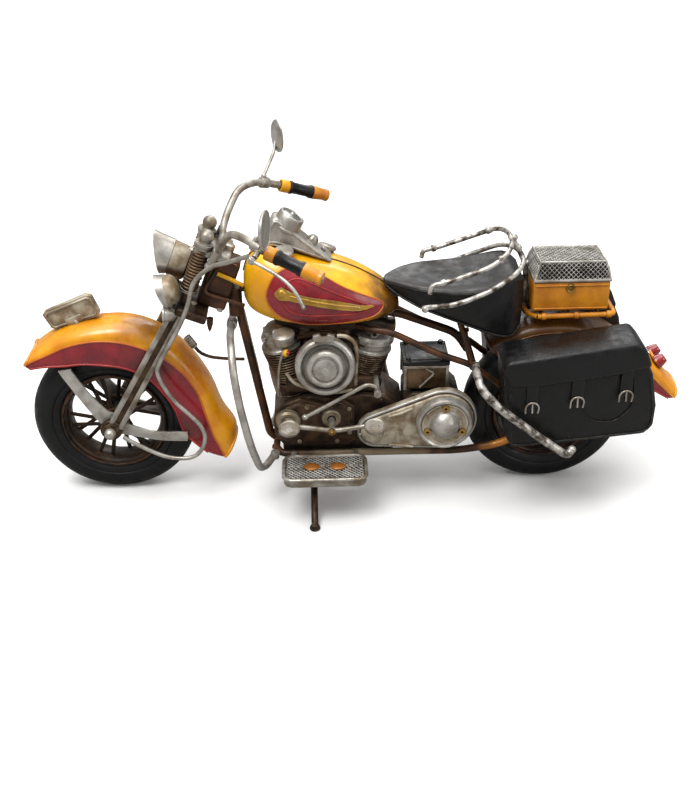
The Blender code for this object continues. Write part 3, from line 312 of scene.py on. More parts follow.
def settle(made):
    """Moves an object's place into its mesh, and turns its curve or modifiers into plain mesh."""
    bpy.context.view_layer.update()
    graph = bpy.context.evaluated_depsgraph_get()
    mesh = bpy.data.meshes.new_from_object(made.evaluated_get(graph))
    mesh.transform(made.matrix_world)
    bpy.data.objects.remove(made)
    return link("shape", mesh)


def merge(*parts):
    """Several shapes as one mesh."""
    bm = bmesh.new()
    for part in parts:
        part.data.transform(part.matrix_world)
        bm.from_mesh(part.data)
        bpy.data.objects.remove(part)
    mesh = bpy.data.meshes.new("shape")
    bm.to_mesh(mesh)
    bm.free()
    return link("shape", mesh)


def both_sides(made):
    """The shape together with its mirror image across the centre plane."""
    return merge(made, mirrored(made))


def mirrored(made):
    mesh = made.data.copy()
    mesh.transform(Matrix.Scale(-1, 4, (0, 1, 0)) @ made.matrix_world)
    mesh.flip_normals()
    return link("shape", mesh)


def show(made, node, look, name=None):
    """Paints a shape and ties it to a CAD node's body.

    The shape stands in for the node, unless it has a name of its own and so is only fixed to it.
    """
    made.data.transform(Matrix.Translation((CENTRE * MM, 0, 0)) @ made.matrix_world)
    made.matrix_world = Matrix.Identity(4)
    made.name = name or node + "_look"
    made.data.name = made.name
    made.data.materials.clear()
    made.data.materials.append(look)
    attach(made, BODY_OF[node])
    if name is None:
        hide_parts(node)


def rounded(made, width, segments=3):
    """The shape with its edges past 30 degrees rounded over this width."""
    step = made.modifiers.new("rounded", "BEVEL")
    step.width = width * MM
    step.segments = segments
    step.limit_method = "ANGLE"
    step.angle_limit = math.radians(30)
    step.harden_normals = False
    made = settle(made)
    soften(made.data, 40)
    return made


def frame_to(direction, origin):
    """The placement that turns +Z to this direction and moves 0 to this origin."""
    turn = Vector(direction).to_track_quat("Z", "Y").to_matrix().to_4x4()
    return Matrix.Translation(Vector(origin) * MM) @ turn


def cylinder(start, end, radius, sides=24, edge=0.0):
    start, end = Vector(start), Vector(end)
    bm = bmesh.new()
    bmesh.ops.create_cone(bm, cap_ends=True, segments=sides, radius1=radius * MM, radius2=radius * MM,
                          depth=(end - start).length * MM)
    made = mesh_object(bm)
    made.matrix_world = frame_to(end - start, (start + end) / 2)
    return rounded(made, edge, 2) if edge else made


def ball(centre, radius, scale=(1, 1, 1)):
    bm = bmesh.new()
    bmesh.ops.create_uvsphere(bm, u_segments=24, v_segments=14, radius=radius * MM)
    bmesh.ops.scale(bm, vec=scale, verts=bm.verts)
    bmesh.ops.translate(bm, vec=Vector(centre) * MM, verts=bm.verts)
    return mesh_object(bm)


def block(centre, half, tilt=0.0, edge=0.6):
    """A box of these half sizes round a centre, turned about Y by tilt degrees, with rounded edges."""
    bm = bmesh.new()
    bmesh.ops.create_cube(bm, size=2)
    bmesh.ops.scale(bm, vec=Vector(half) * MM, verts=bm.verts)
    made = mesh_object(bm)
    made.matrix_world = Matrix.Translation(Vector(centre) * MM) @ Matrix.Rotation(math.radians(tilt), 4, "Y")
    return rounded(made, edge) if edge else made


def bends(points, radius, steps=5):
    """The path with each inner corner eased over this distance, as a wire is bent."""
    points = [Vector(p) for p in points]
    path = [points[0]]
    for before, corner, after in zip(points, points[1:], points[2:]):
        reach = min(radius, (before - corner).length * 0.45, (after - corner).length * 0.45)
        start = corner + (before - corner).normalized() * reach
        end = corner + (after - corner).normalized() * reach
        for i in range(steps + 1):
            t = i / steps
            path.append((1 - t) ** 2 * start + 2 * t * (1 - t) * corner + t * t * end)
    path.append(points[-1])
    return path


def tube(points, radius, bend=8.0, steps=5, resolution=3, closed=False):
    """A round wire or tube through the points, with rounded bends."""
    path = [Vector(p) for p in points] if closed or not bend else bends(points, bend, steps)
    curve = bpy.data.curves.new("wire", "CURVE")
    curve.dimensions = "3D"
    curve.bevel_depth = radius * MM
    curve.bevel_resolution = resolution
    curve.use_fill_caps = True
    spline = curve.splines.new("POLY")
    spline.points.add(len(path) - 1)
    for knot, place in zip(spline.points, path):
        knot.co = (*(place * MM), 1)
    spline.use_cyclic_u = closed
    made = settle(link("wire", curve))
    soften(made.data, 50)
    return made


def lathe(profile, origin, axis, steps=48, closed=False, sharp=32):
    """A turned shape. Each profile point is (radius, height along the axis)."""
    mesh = bpy.data.meshes.new("profile")
    points = [(r * MM, 0, h * MM) for r, h in profile]
    edges = [(i, i + 1) for i in range(len(points) - 1)]
    if closed:
        edges.append((len(points) - 1, 0))
    mesh.from_pydata(points, edges, [])
    made = link("turned", mesh)
    made.matrix_world = frame_to(axis, origin)
    turn = made.modifiers.new("turn", "SCREW")
    turn.axis = "Z"
    turn.angle = math.tau
    turn.steps = turn.render_steps = steps
    turn.use_merge_vertices = True
    turn.merge_threshold = 0.0001 * MM
    return rework(settle(made), sharp, lambda bm: bmesh.ops.recalc_face_normals(bm, faces=bm.faces))


def plate(outline, y_low, y_high, edge=0.0, holes=()):
    """A flat plate cut to an outline of (x, z) points, between two planes of constant y."""
    curve = bpy.data.curves.new("plate", "CURVE")
    curve.dimensions = "2D"
    curve.fill_mode = "BOTH"
    curve.extrude = abs(y_high - y_low) / 2 * MM
    for ring in (outline, *holes):
        spline = curve.splines.new("POLY")
        spline.points.add(len(ring) - 1)
        for knot, (x, z) in zip(spline.points, ring):
            knot.co = (x * MM, z * MM, 0, 1)
        spline.use_cyclic_u = True
    flat = link("plate", curve)
    flat.rotation_euler = (math.radians(90), 0, 0)
    flat.location = (0, (y_low + y_high) / 2 * MM, 0)
    made = rework(
        settle(flat), 35,
        lambda bm: bmesh.ops.remove_doubles(bm, verts=bm.verts, dist=0.001 * MM),
        lambda bm: bmesh.ops.dissolve_limit(bm, angle_limit=math.radians(1), verts=bm.verts, edges=bm.edges),
    )
    return rounded(made, edge) if edge else made


def circle(centre, radius, sides=32, start=0.0, sweep=360.0):
    """Points (x, z) round a circle, or along the arc of it that starts and sweeps by these degrees."""
    x, z = centre
    count = sides if sweep == 360.0 else sides + 1
    angles = [math.radians(start + sweep * i / sides) for i in range(count)]
    return [(x + radius * math.cos(a), z + radius * math.sin(a)) for a in angles]


def belt(first, first_radius, second, second_radius, sides=48):
    """Outline of two circles, the first to the left, joined by their outer tangents."""
    (x1, z1), (x2, z2) = first, second
    along = math.degrees(math.atan2(z2 - z1, x2 - x1))
    spread = math.degrees(math.acos((first_radius - second_radius) / math.hypot(x2 - x1, z2 - z1)))
    left = circle(first, first_radius, sides // 2, along + spread, 360 - 2 * spread)
    right = circle(second, second_radius, sides // 2, along - spread, 2 * spread)
    return left + right


def loft(sections, sharp=35):
    """A closed skin over rings of equal length."""
    bm = bmesh.new()
    rings = [[bm.verts.new(Vector(p) * MM) for p in ring] for ring in sections]
    count = len(rings[0])
    for a, b in zip(rings, rings[1:]):
        for i in range(count):
            j = (i + 1) % count
            bm.faces.new((a[i], a[j], b[j], b[i]))
    bm.faces.new(rings[0][::-1])
    bm.faces.new(rings[-1])
    bmesh.ops.remove_doubles(bm, verts=bm.verts, dist=0.001 * MM)
    bmesh.ops.recalc_face_normals(bm, faces=bm.faces)
    return mesh_object(bm, sharp)


def line_at(keys, t):
    """Value at t on the straight-line graph through (t, value) keys."""
    if t <= keys[0][0]:
        return keys[0][1]
    for (t0, v0), (t1, v1) in zip(keys, keys[1:]):
        if t <= t1:
            return v0 + (v1 - v0) * (t - t0) / (t1 - t0)
    return keys[-1][1]


def between(a, b, c, d, t):
    """The point at t between b and c on a smooth curve through all four."""
    a, b, c, d = Vector(a), Vector(b), Vector(c), Vector(d)
    return 0.5 * ((2 * b) + (c - a) * t + (2 * a - 5 * b + 4 * c - d) * t * t
                  + (3 * b - a - 3 * c + d) * t ** 3)


def smooth_rows(rows, count):
    """Rows of points resampled to count rows along smooth curves through the given ones."""
    last = len(rows) - 1
    made = []
    for i in range(count):
        s = last * i / (count - 1)
        k = min(int(s), last - 1)
        nearby = zip(rows[max(k - 1, 0)], rows[k], rows[k + 1], rows[min(k + 2, last)])
        made.append([between(*four, s - k) for four in nearby])
    return made


def smooth_path(points, count):
    """The points of a smooth curve through the given ones."""
    return [row[0] for row in smooth_rows([[Vector(p)] for p in points], count)]


def smooth_loop(points, count):
    """A closed outline resampled along a smooth curve through its points."""
    ring = [points[-1]] + list(points) + [points[0], points[1]]
    last = len(points)
    made = []
    for i in range(count):
        s = last * i / count
        k = int(s)
        made.append(between(*ring[k:k + 4], s - k))
    return made


def sheet_between(outer, inner, sharp=35):
    """A sheet between two grids of points of the same size, stitched along its edges."""
    bm = bmesh.new()
    top = [[bm.verts.new(Vector(p) * MM) for p in row] for row in outer]
    under = [[bm.verts.new(Vector(p) * MM) for p in row] for row in inner]
    rows, columns = len(top), len(top[0])
    for grid in (top, under):
        for i in range(rows - 1):
            for j in range(columns - 1):
                bm.faces.new((grid[i][j], grid[i][j + 1], grid[i + 1][j + 1], grid[i + 1][j]))
    for i in range(rows - 1):
        for j in (0, columns - 1):
            bm.faces.new((top[i][j], top[i + 1][j], under[i + 1][j], under[i][j]))
    for j in range(columns - 1):
        for i in (0, rows - 1):
            bm.faces.new((top[i][j], top[i][j + 1], under[i][j + 1], under[i][j]))
    bmesh.ops.recalc_face_normals(bm, faces=bm.faces)
    return mesh_object(bm, sharp)


def polar(axle, radius, degrees, y):
    """The point this far from an axle, this many degrees up from +X."""
    angle = math.radians(degrees)
    return Vector((axle.x + radius * math.cos(angle), y, axle.z + radius * math.sin(angle)))


def on_steering(across, y, along):
    """The point this far behind the steering axis, to the side and up along the axis."""
    behind = Vector((math.cos(RAKE), 0, -math.sin(RAKE)))
    return STEER_POINT + behind * across + STEER_AXIS * along + Vector((0, y, 0))


def bar(start, end, width, thick, across=(0, 1, 0), edge=0.3):
    """A flat bar between two points, this wide and this thick across."""
    start, end = Vector(start), Vector(end)
    along = (end - start).normalized()
    thick_way = (Vector(across) - along * along.dot(Vector(across))).normalized()
    wide_way = along.cross(thick_way)
    turn = Matrix((wide_way, thick_way, along)).transposed().to_4x4()
    bm = bmesh.new()
    bmesh.ops.create_cube(bm, size=1)
    bmesh.ops.scale(bm, vec=Vector((width, thick, (end - start).length)) * MM, verts=bm.verts)
    made = mesh_object(bm)
    made.matrix_world = Matrix.Translation((start + end) / 2 * MM) @ turn
    return rounded(made, edge, 2) if edge else made


def screw_head(place, axis, radius, sides=6, tall=1.2):
    return cylinder(place, Vector(place) + Vector(axis).normalized() * tall, radius, sides, edge=0.2)


# ---------------------------------------------------------------- wheels

SPOKE_PAIRS = 10


def make_tyre(axle, node):
    half = [(AXLE_HEIGHT, 0), (47.9, 2.6), (47.4, 5.0), (46.2, 7.3), (44.4, 9.2), (42.0, 10.5), (39.4, 11.0),
            (37.2, 10.9), (36.2, 10.6), (35.8, 10.1), (35.3, 10.5), (33.4, 10.1), (31.4, 8.6)]
    profile = half[::-1] + [(r, -y) for r, y in half[1:]]
    show(lathe(profile, axle, (0, 1, 0), 96, closed=True, sharp=40), node, rubber)


def make_rim(axle, node):
    half = [(31.0, 7.6), (31.1, 9.0), (30.5, 9.9), (29.6, 9.9), (29.1, 9.1), (28.9, 7.9), (28.1, 7.4),
            (27.7, 6.6), (26.9, 5.0), (26.4, 2.4), (26.3, 0)]
    well = lathe(half + [(r, -y) for r, y in half[-2::-1]], axle, (0, 1, 0), 96, closed=True)
    half = [(2.4, 12.0), (4.9, 12.0), (5.3, 11.5), (5.3, 10.0), (6.2, 9.8), (8.4, 9.2), (8.4, 8.0),
            (5.2, 7.4), (4.4, 5.0), (4.2, 0)]
    hub = lathe(half + [(r, -y) for r, y in half[-2::-1]], axle, (0, 1, 0), 32, closed=True)
    parts = [well, hub]
    for i in range(SPOKE_PAIRS):
        side = -1 if i % 2 else 1
        for lean in (-1, 1):
            inner = polar(axle, 7.0, 360 / SPOKE_PAIRS * i + lean * 14, side * 8.2)
            outer = polar(axle, 27.4, 360 / SPOKE_PAIRS * i + lean * 8.5, side * 4.6)
            parts.append(bar(inner, outer, 2.4, 1.0, edge=0.3))
    show(merge(*parts), node, rim_brown)


def make_axle(axle, nut_at, node):
    """A shaft with a washer, a nut and a domed cap nut_at millimetres out on both sides."""
    shaft = [cylinder(axle + Vector((0, -nut_at - 2, 0)), axle + Vector((0, nut_at + 2, 0)), 2.0, 20)]
    domes, nuts = [], []
    for side in (-1, 1):
        out = Vector((0, side, 0))
        nuts.append(cylinder(axle + out * nut_at, axle + out * (nut_at + 2.0), 4.0, 6, edge=0.3))
        nuts.append(cylinder(axle + out * (nut_at - 0.9), axle + out * nut_at, 4.7, 28, edge=0.2))
        profile = [(3.2, 0), (3.3, 1.0), (3.1, 2.2), (2.5, 3.2), (1.5, 3.9), (0, 4.1)]
        domes.append(lathe(profile, axle + out * (nut_at + 1.9), out, 28))
    show(merge(*shaft, *domes), node, bright_silver)
    show(merge(*nuts), node, rusty, node + "_nuts")


make_tyre(FRONT_AXLE, "front_tyre")
make_tyre(REAR_AXLE, "rear_tyre")
make_rim(FRONT_AXLE, "front_rim")
make_rim(REAR_AXLE, "rear_rim")
make_axle(FRONT_AXLE, 20.5, "front_axle")
make_axle(REAR_AXLE, 18.9, "rear_axle")


# ---------------------------------------------------------------- fork and lamps

LEG_OUT = 18.4  # fork legs from the centre plane
SPRING_BACK, SPRING_OUT = -12.5, 10.7  # springs from the steering axis


def make_fork():
    """Yoke, four leg bars with dark straps between them, spring seats and axle plates."""
    parts = [
        block((-78.5, 0, 153), (10, 14.6, 2), 22, 1.2),
        cylinder(on_steering(0, 0, 30), on_steering(0, 0, 35.5), 4.6, 6, edge=0.4),
        tube([(-83, 0, 149), (-88, 0, 151), (-93, 0, 150.4)], 2.6, 3),
    ]
    straps = [block((-92.5, 0, 120), (9.0, 20, 2.4), 22, 1.4)]
    for side in (-1, 1):
        y = side * LEG_OUT
        parts.append(bar((-144.8, y, 51.0), (-101.2, y, 125.2), 3.3, 2.9, edge=1.2))
        parts.append(bar((-139.6, y, 48.3), (-96.6, y, 121.4), 3.3, 2.9, edge=1.2))
        straps.append(bar((-140.0, y, 53.4), (-99.6, y, 121.6), 3.8, 1.7, edge=0.3))
        inner = FRONT_AXLE + Vector((0, side * 16.8, 0))
        outer = FRONT_AXLE + Vector((0, side * 19.6, 0))
        straps.append(cylinder(inner, outer, 6.4, 32, edge=0.5))
        parts.append(cylinder((-106.2, side * 16.6, 129.6), (-103.4, side * 17.2, 120), 1.9, 20))
        seat = [on_steering(SPRING_BACK, side * SPRING_OUT, along) for along in (33.8, 35.6)]
        parts.append(cylinder(*seat, 5.4, 28, edge=0.3))
        for place in (on_steering(-7.5, side * 17.2, 2), on_steering(7, side * 15.5, 2)):
            parts.append(screw_head(place, STEER_AXIS, 1.7))
    show(merge(*parts), "fork", silver)
    show(merge(*straps), "fork", rusty, "fork_inner_straps")


def make_spring(side, node):
    """A coil round a rod, in a cup below and under a domed collar above."""
    base = on_steering(SPRING_BACK, side * SPRING_OUT, 0)
    coils, per_turn, wire = 13, 20, 0.74
    low, high = 7.0, 32.2
    reach = 4.75 - wire
    u = Vector((0, 1, 0))
    v = STEER_AXIS.cross(u)
    path = []
    for i in range(coils * per_turn + 1):
        angle = math.tau * i / per_turn
        rise = low + wire + (high - low - 2 * wire) * i / (coils * per_turn)
        path.append(base + STEER_AXIS * rise + (u * math.cos(angle) + v * math.sin(angle)) * reach)
    rod = lathe([(0, -1.9), (3.0, -1.9), (3.0, 32), (0, 32)], base, STEER_AXIS, 24)
    cup = lathe([(3.0, 5.6), (4.9, 5.6), (4.9, 7.1), (3.0, 7.1)], base, STEER_AXIS, 28, closed=True)
    sleeve = lathe([(3.1, 32.0), (4.8, 32.0), (5.0, 32.5), (5.0, 33.5), (4.7, 34.0), (3.1, 34.0)], base,
                   STEER_AXIS, 32, closed=True)
    profile = [(0.0, 43.2), (1.8, 42.9), (3.3, 41.7), (4.0, 40.0), (4.0, 38.4), (3.2, 37.0), (3.2, 36.4),
               (4.8, 36.0), (4.8, 34.8), (3.6, 34.4), (2.2, 33.6), (2.2, 30)]
    dome = lathe(profile, base, STEER_AXIS, 32)
    show(merge(sleeve, cup, dome), node, silver)
    show(tube(path, wire, 0, resolution=2), node, bronze, node + "_coil")
    show(rod, node, brown, node + "_rod")


def bar_path(side):
    """Half of the handlebar, from its clamp to the end of the grip."""
    return [(-74.6, side * 18, 157.2), (-72, side * 24.5, 164), (-66, side * 34.5, 174),
            (-57, side * 45, 174.2), (-48, side * 53, 170.6), (-19, side * 64.1, 159.5)]


def make_handlebar():
    parts = [tube(bar_path(-1)[::-1] + [(-73.3, 0, 157.6)] + bar_path(1), 2.15, 9, 7)]
    for side in (-1, 1):
        parts.append(cylinder((-54.0, side * 47.7, 173), (-49.6, side * 51.6, 171.3), 3.2, 28, edge=0.5))
        parts.append(cylinder((-50.6, side * 51.5, 171), (-53.2, side * 56.6, 169), 1.6, 20, edge=0.3))
        parts.append(tube([(-74.8, side * 18.4, 157.8), (-77.4, side * 16.4, 153),
                           (-80.6, side * 14.2, 147.6)], 2.1, 3))
        parts.append(ball((-80.6, side * 14.2, 147.4), 2.6))
        parts.append(screw_head((-52.2, side * 49.6, 174.8), (0.1, 0, 1), 1.3))
    show(merge(*parts), "handlebar", silver)


def make_grip(side, node):
    """A painted tip, a ribbed black band and a painted collar; the two grips sit a little differently."""
    shift = Vector((-2.6, side * -1.0, 1.2)) if side < 0 else Vector((1.8, side * 0.7, -0.7))
    start = Vector((-44.6, side * 54.3, 169.3)) + shift
    end = Vector((-16.6, side * 65.0, 158.6)) + shift
    along = (end - start).normalized()
    length = (end - start).length
    collar = [(2.7, 0), (3.5, 0), (3.8, 0.6), (3.8, 4.6), (3.5, 5.4), (2.7, 5.4)]
    band = [(2.7, 5.8), (3.9, 5.8), (4.0, 7.0), (3.4, 8.2), (3.3, 12), (3.4, 18), (4.0, 19.4), (4.0, 20.8),
            (2.7, 20.8)]
    tip = [(2.7, 21.0), (3.9, 21.0), (4.0, 22.4), (3.7, 25), (3.3, length - 3), (3.6, length - 2.4),
           (3.6, length - 0.8), (3.0, length - 0.2), (0, length)]
    show(lathe(tip, start, along, 28), node, amber if side < 0 else deep_amber)
    show(lathe(collar, start, along, 28, closed=True), node, deep_amber if side < 0 else bright_amber,
         node + "_collar")
    show(lathe(band, start, along, 28, closed=True), node, band_black, node + "_band")


LEFT_LEVER = [(0, 0, 0), (6, 0.2, 0), (12, 1.0, 0), (20, 2.7, -0.3), (27, 3.9, -2.6), (33.5, 4.7, -8.2)]
RIGHT_LEVER = [(0, 0, 0), (6, 0.2, 0), (12, 0.8, 0), (24, 3, 0), (31, 4, -0.8)]


def make_lever(side, node):
    """A wire lever on its pivot. Its points lie along the grip, out from it and up the pivot."""
    along = Vector((0.878, side * 0.336, -0.336)).normalized()
    outward = Vector((-0.357, side * 0.934, 0)).normalized()
    axis = outward.cross(along).normalized()
    base = Vector((-54.4, side * 59.0, 168.4))
    points = LEFT_LEVER if side < 0 else RIGHT_LEVER
    path = [base + along * a + outward * b + axis * c for a, b, c in points]
    parts = [tube(path, 0.95, 5, 5), cylinder(base - axis * 1.5, base + axis * 1.5, 1.7, 20, edge=0.3)]
    parts += [ball(path[-1], 1.1), screw_head(base + axis * 1.4, axis, 1.0, tall=0.7)]
    show(merge(*parts), node, bright_silver)


def make_mirror(side, node):
    """A round mirror on a bent stem. The left one hangs lower and is turned more side-on."""
    foot = Vector((-51.8, side * 49.6, 176.2))
    drop = Vector((-2.6, 0, -4.6)) if side < 0 else Vector((0, 0, 0))
    middle = Vector((-44.4, side * 70.5, 193.3)) + drop
    stem = tube([foot, (-50, side * 55, 179), Vector((-46, side * 67, 185)) + drop,
                 Vector((-45.0, side * 70.3, 191)) + drop], 1.05, 8, 6)
    facing = Vector((math.cos(math.radians(12)), side * math.sin(math.radians(12 if side < 0 else 22)), 0))
    shell = lathe([(0, -1.5), (5.5, -1.2), (8.6, -0.5), (9.5, 0.3), (9.6, 1.1), (9.0, 1.3), (8.8, 0.9),
                   (0, 0.8)], middle, facing, 48)
    glass = lathe([(0, 1.2), (8.6, 1.0), (8.7, 0.6), (0, 0.6)], middle, facing, 48)
    show(merge(stem, shell, ball(foot, 1.7)), node, bright_silver)
    show(glass, node, mirror_face, node + "_glass")


SPOTLIGHT_OUT = 17
HEADLIGHT_REAR = [(5.0, 0.2), (7.6, 1.0), (9.0, 2.6)]
SPOTLIGHT_REAR = [(3.4, 0.3), (6.2, 1.3), (7.6, 2.8)]


def lamp(node, back, radius, length, visor, rear, pitch):
    """A round lamp facing forwards and up by pitch degrees.

    An aged barrel, closed by the rear profile, holds the glass. A bright sleeve reaches over it by visor
    millimetres at the top and is cut off aslant.
    """
    forward = Vector((-1, 0, 0))
    set_up = Matrix.Translation(Vector(back) * MM) @ Matrix.Rotation(math.radians(pitch), 4, "Y")
    profile = [(0, 0)] + rear + [(radius * 0.97, length * 0.5), (radius, length - 1.2),
                                 (radius * 1.04, length - 0.8), (radius * 1.04, length),
                                 (radius * 0.92, length + 0.3), (radius * 0.9, length - 0.8),
                                 (0, length - 1.0)]
    shell = lathe(profile, (0, 0, 0), forward, 48)
    outer, inner = [], []
    for i in range(49):
        angle = math.tau * i / 48
        reach = 1.6 + visor * (1 + math.cos(angle)) / 2
        rows = []
        for t in (0, 0.4, 0.75, 0.92, 1.0):
            swell = radius * (1.05 + 0.05 * t + (0.03 if t > 0.9 else 0))
            rows.append((-(length - 0.6) - reach * t, math.sin(angle) * swell, math.cos(angle) * swell))
        outer.append(rows)
        inner.append([(x, y * 0.93, z * 0.93) for x, y, z in rows])
    hood = sheet_between(outer, inner)
    glass = lathe([(0, 2.6), (radius * 0.45, 2.2), (radius * 0.75, 1.2), (radius * 0.9, -0.2), (0, -0.2)],
                  (-(length - 0.8), 0, 0), forward, 40)
    for shape in (shell, hood, glass):
        shape.data.transform(set_up @ shape.matrix_world)
        shape.matrix_world = Matrix.Identity(4)
    show(shell, node, cream)
    show(hood, node, bright_silver, node + "_hood")
    show(glass, node, lamp_glass, node + "_glass")


def make_bullet(side, node):
    """The small lamp hung below a spotlight."""
    profile = [(0, 0), (2.4, 0.5), (3.8, 2.0), (4.3, 4.2), (4.3, 6.2), (4.7, 6.6), (4.7, 7.6), (3.9, 7.9),
               (3.5, 7.4), (0, 8.2)]
    y = side * SPOTLIGHT_OUT
    body = lathe(profile, (-99.8, y, 120.4), (-1, 0, 0.05), 32)
    arm = cylinder((-103.0, y, 121), (-103.0, y, 129), 1.3, 16)
    show(merge(body, arm), node, bright_silver, node + "_bullet")


make_fork()
make_handlebar()
lamp("headlight", (-92.0, 0, 143.0), 9.8, 13.0, 11.0, HEADLIGHT_REAR, 24)
for word, side in SIDES:
    make_spring(side, "spring_" + word)
    make_grip(side, "grip_" + word)
    make_lever(side, "lever_" + word)
    make_mirror(side, "mirror_" + word)
    lamp("spotlight_" + word, (-97.4, side * SPOTLIGHT_OUT, 136.4), 8.4, 7.6, 3.6, SPOTLIGHT_REAR, -10)
    make_bullet(side, "spotlight_" + word)


# ---------------------------------------------------------------- mudguards

# Each key is (degrees round the axle, distance from the axle).
FRONT_CROWN = [(-20, 72.5), (-11, 72), (-4, 66.5), (8, 63), (29, 62), (43, 63), (51, 64.2), (65, 65.8),
               (80, 65.6), (90, 64), (118, 63.2), (131, 62.7), (137.5, 62.3)]
FRONT_SHOULDER = [(-20, 68.6), (-14, 62.5), (-5, 57.4), (7, 55), (39, 55.6), (65, 55.2), (100, 55.6),
                  (123, 56.6), (131, 58.6), (137.5, 61.0)]
FRONT_SKIRT = [(-20, 58), (-16, 49), (-11, 42.6), (1, 39.6), (35, 38), (50, 39.2), (68, 39.6), (90, 40),
               (100, 41.5), (120, 46.0), (132, 53.6), (137.5, 57.6)]
REAR_CROWN = [(8, 77), (15, 73), (31, 66), (45, 62.5), (70, 60.6), (90, 60), (128, 60)]
REAR_SHOULDER = [(8, 74), (15, 67.5), (31, 60), (45, 55.5), (90, 54), (128, 54)]
REAR_SKIRT = [(8, 71), (15, 61), (31, 52), (45, 48.5), (90, 47), (128, 47)]


def soft_at(keys, t):
    """line_at with its corners eased, exact at both ends."""
    reach = min(5.0, t - keys[0][0], keys[-1][0] - t)
    steps = [reach * k / 3 for k in range(-3, 4)]
    return sum(line_at(keys, t + s) for s in steps) / len(steps)


MUDGUARD_HALF = 14.2
BEAD_RADIUS = 0.55
TIN = 0.9  # thickness of the sheet


def make_mudguard(node, axle, first, last, rows, keys, set_back, bow, look, crease_look):
    """A mudguard from first to last degrees, whose crown stops short of its corners by set_back degrees.

    A lower bow makes the crown squarer across.
    """
    crown, shoulder, skirt = keys
    half_width = MUDGUARD_HALF
    angles = [first + (last - first) * i / (rows - 1) for i in range(rows)]
    top, under, sides, sides_in = [], [], [], []
    crease, hem = [], []
    for angle in angles:
        high, edge, low = soft_at(crown, angle), soft_at(shoulder, angle), soft_at(skirt, angle)
        arch, arch_in = [], []
        for j in range(17):
            turn = math.pi * j / 16
            y = -half_width * math.cos(turn)
            r = edge + (high - edge) * math.sin(turn) ** bow
            held = 0.0
            for end, short in zip((first, last), set_back):
                inward = 1 if end < (first + last) / 2 else -1
                held += inward * short * max(0.0, 1 - abs(angle - end) / 26) * math.sin(turn) ** 0.9
            arch.append(polar(axle, r, angle + held, y))
            arch_in.append(polar(axle, r - TIN, angle + held, y * 0.95))
        top.append(arch)
        under.append(arch_in)
        wall, wall_in = [], []
        for j in range(6):
            t = j / 5
            bulge = 0.5 * math.sin(math.pi * t)
            r = edge + (low - edge) * t
            wall.append(polar(axle, r, angle, -half_width - bulge + 0.2 * t))
            wall_in.append(polar(axle, r, angle, -half_width - bulge + 0.2 * t + TIN))
        sides.append(wall)
        sides_in.append(wall_in)
        crease.append(polar(axle, edge, angle, -half_width))
        hem.append(polar(axle, low, angle, -half_width + 0.2))
    lips = [tube(top[0], 0.95, 0), tube(top[-1], 0.95, 0)]
    show(merge(sheet_between(top, under), *lips), node, look)
    show(both_sides(sheet_between(sides, sides_in)), node, crimson, node + "_skirt")
    show(both_sides(tube(crease, BEAD_RADIUS, 0, resolution=2)), node, crease_look, node + "_bead")
    show(both_sides(tube(hem, BEAD_RADIUS + 0.15, 0, resolution=2)), node, hem_red, node + "_hem")


def make_fender_stays():
    """Two curved flat stays and a ring at the axle, on both sides of the front mudguard."""
    parts = []
    front = [(-169.8, 84.6), (-169.6, 85.8), (-169.0, 86.2), (-163.8, 86.9), (-163.2, 86.6), (-162.8, 85.6),
             (-156, 73), (-147, 60.5), (-141, 55.5), (-146, 48), (-152, 53), (-161, 68)]
    rear = [(-145.6, 44.4), (-139, 43.6), (-118, 38.8), (-103, 37.7), (-101.4, 38.0), (-100.9, 39.0),
            (-100.7, 41.8), (-101.2, 43.0), (-102.4, 43.6), (-122, 45.0), (-139, 51.6), (-145, 52)]
    for outline in (front, rear):
        parts.append(plate([tuple(p) for p in smooth_loop([Vector(q) for q in outline], 56)], -16.3, -14.9,
                           0.35))
    hole = circle((FRONT_AXLE.x, FRONT_AXLE.z), 2.6, 24)
    parts.append(plate(circle((FRONT_AXLE.x, FRONT_AXLE.z), 6.2, 40), -16.3, -14.8, 0.35, [hole]))
    show(both_sides(merge(*parts)), "front_fender", bright_silver, "front_fender_stays")


def make_number_plate():
    """A blank plate with a raised rim, standing on the front mudguard."""
    outline = [(-178.2, 114.6), (-176.6, 117.0), (-152.4, 126.8), (-149.2, 125.8), (-145.4, 115.8),
               (-147, 113.0), (-171.2, 105.2), (-174.4, 106.6)]
    ring = [(-176.4, 113.9), (-175.6, 115.6), (-152.2, 124.9), (-150.4, 124.2), (-147.5, 116.4),
            (-148.4, 114.7), (-171.6, 107.2), (-173.2, 108.0)]
    parts = [plate(outline, -1.8, 1.8, 0.6)]
    for y in (-2.0, 2.0):
        parts.append(tube([(x, y, z) for x, z in ring], 0.55, 0, closed=True))
    parts.append(block((-160.5, 0, 111.4), (5, 2.6, 2.2), -20, 0.6))
    parts.append(tube([(-160, -1.6, 111), (-158, -4, 107.5), (-157.4, -6.4, 106)], 1.2, 3))
    show(merge(*parts), "number_plate", cream)


def make_brake_cable():
    path = [(-57, -43, 164.4), (-68, -38.5, 159.5), (-78, -32, 154), (-88, -26, 143), (-93, -24.2, 128),
            (-99, -23, 115), (-110, -23, 96), (-113, -23, 86), (-106, -23, 70), (-92, -22.6, 52),
            (-90.5, -22.6, 40), (-98, -22.6, 30.5), (-113, -22.6, 31), (-129, -22.6, 39.5),
            (-137.2, -22.6, 45.4)]
    show(tube(smooth_path(path, 90), 1.25, 0), "brake_cable", bright_silver)


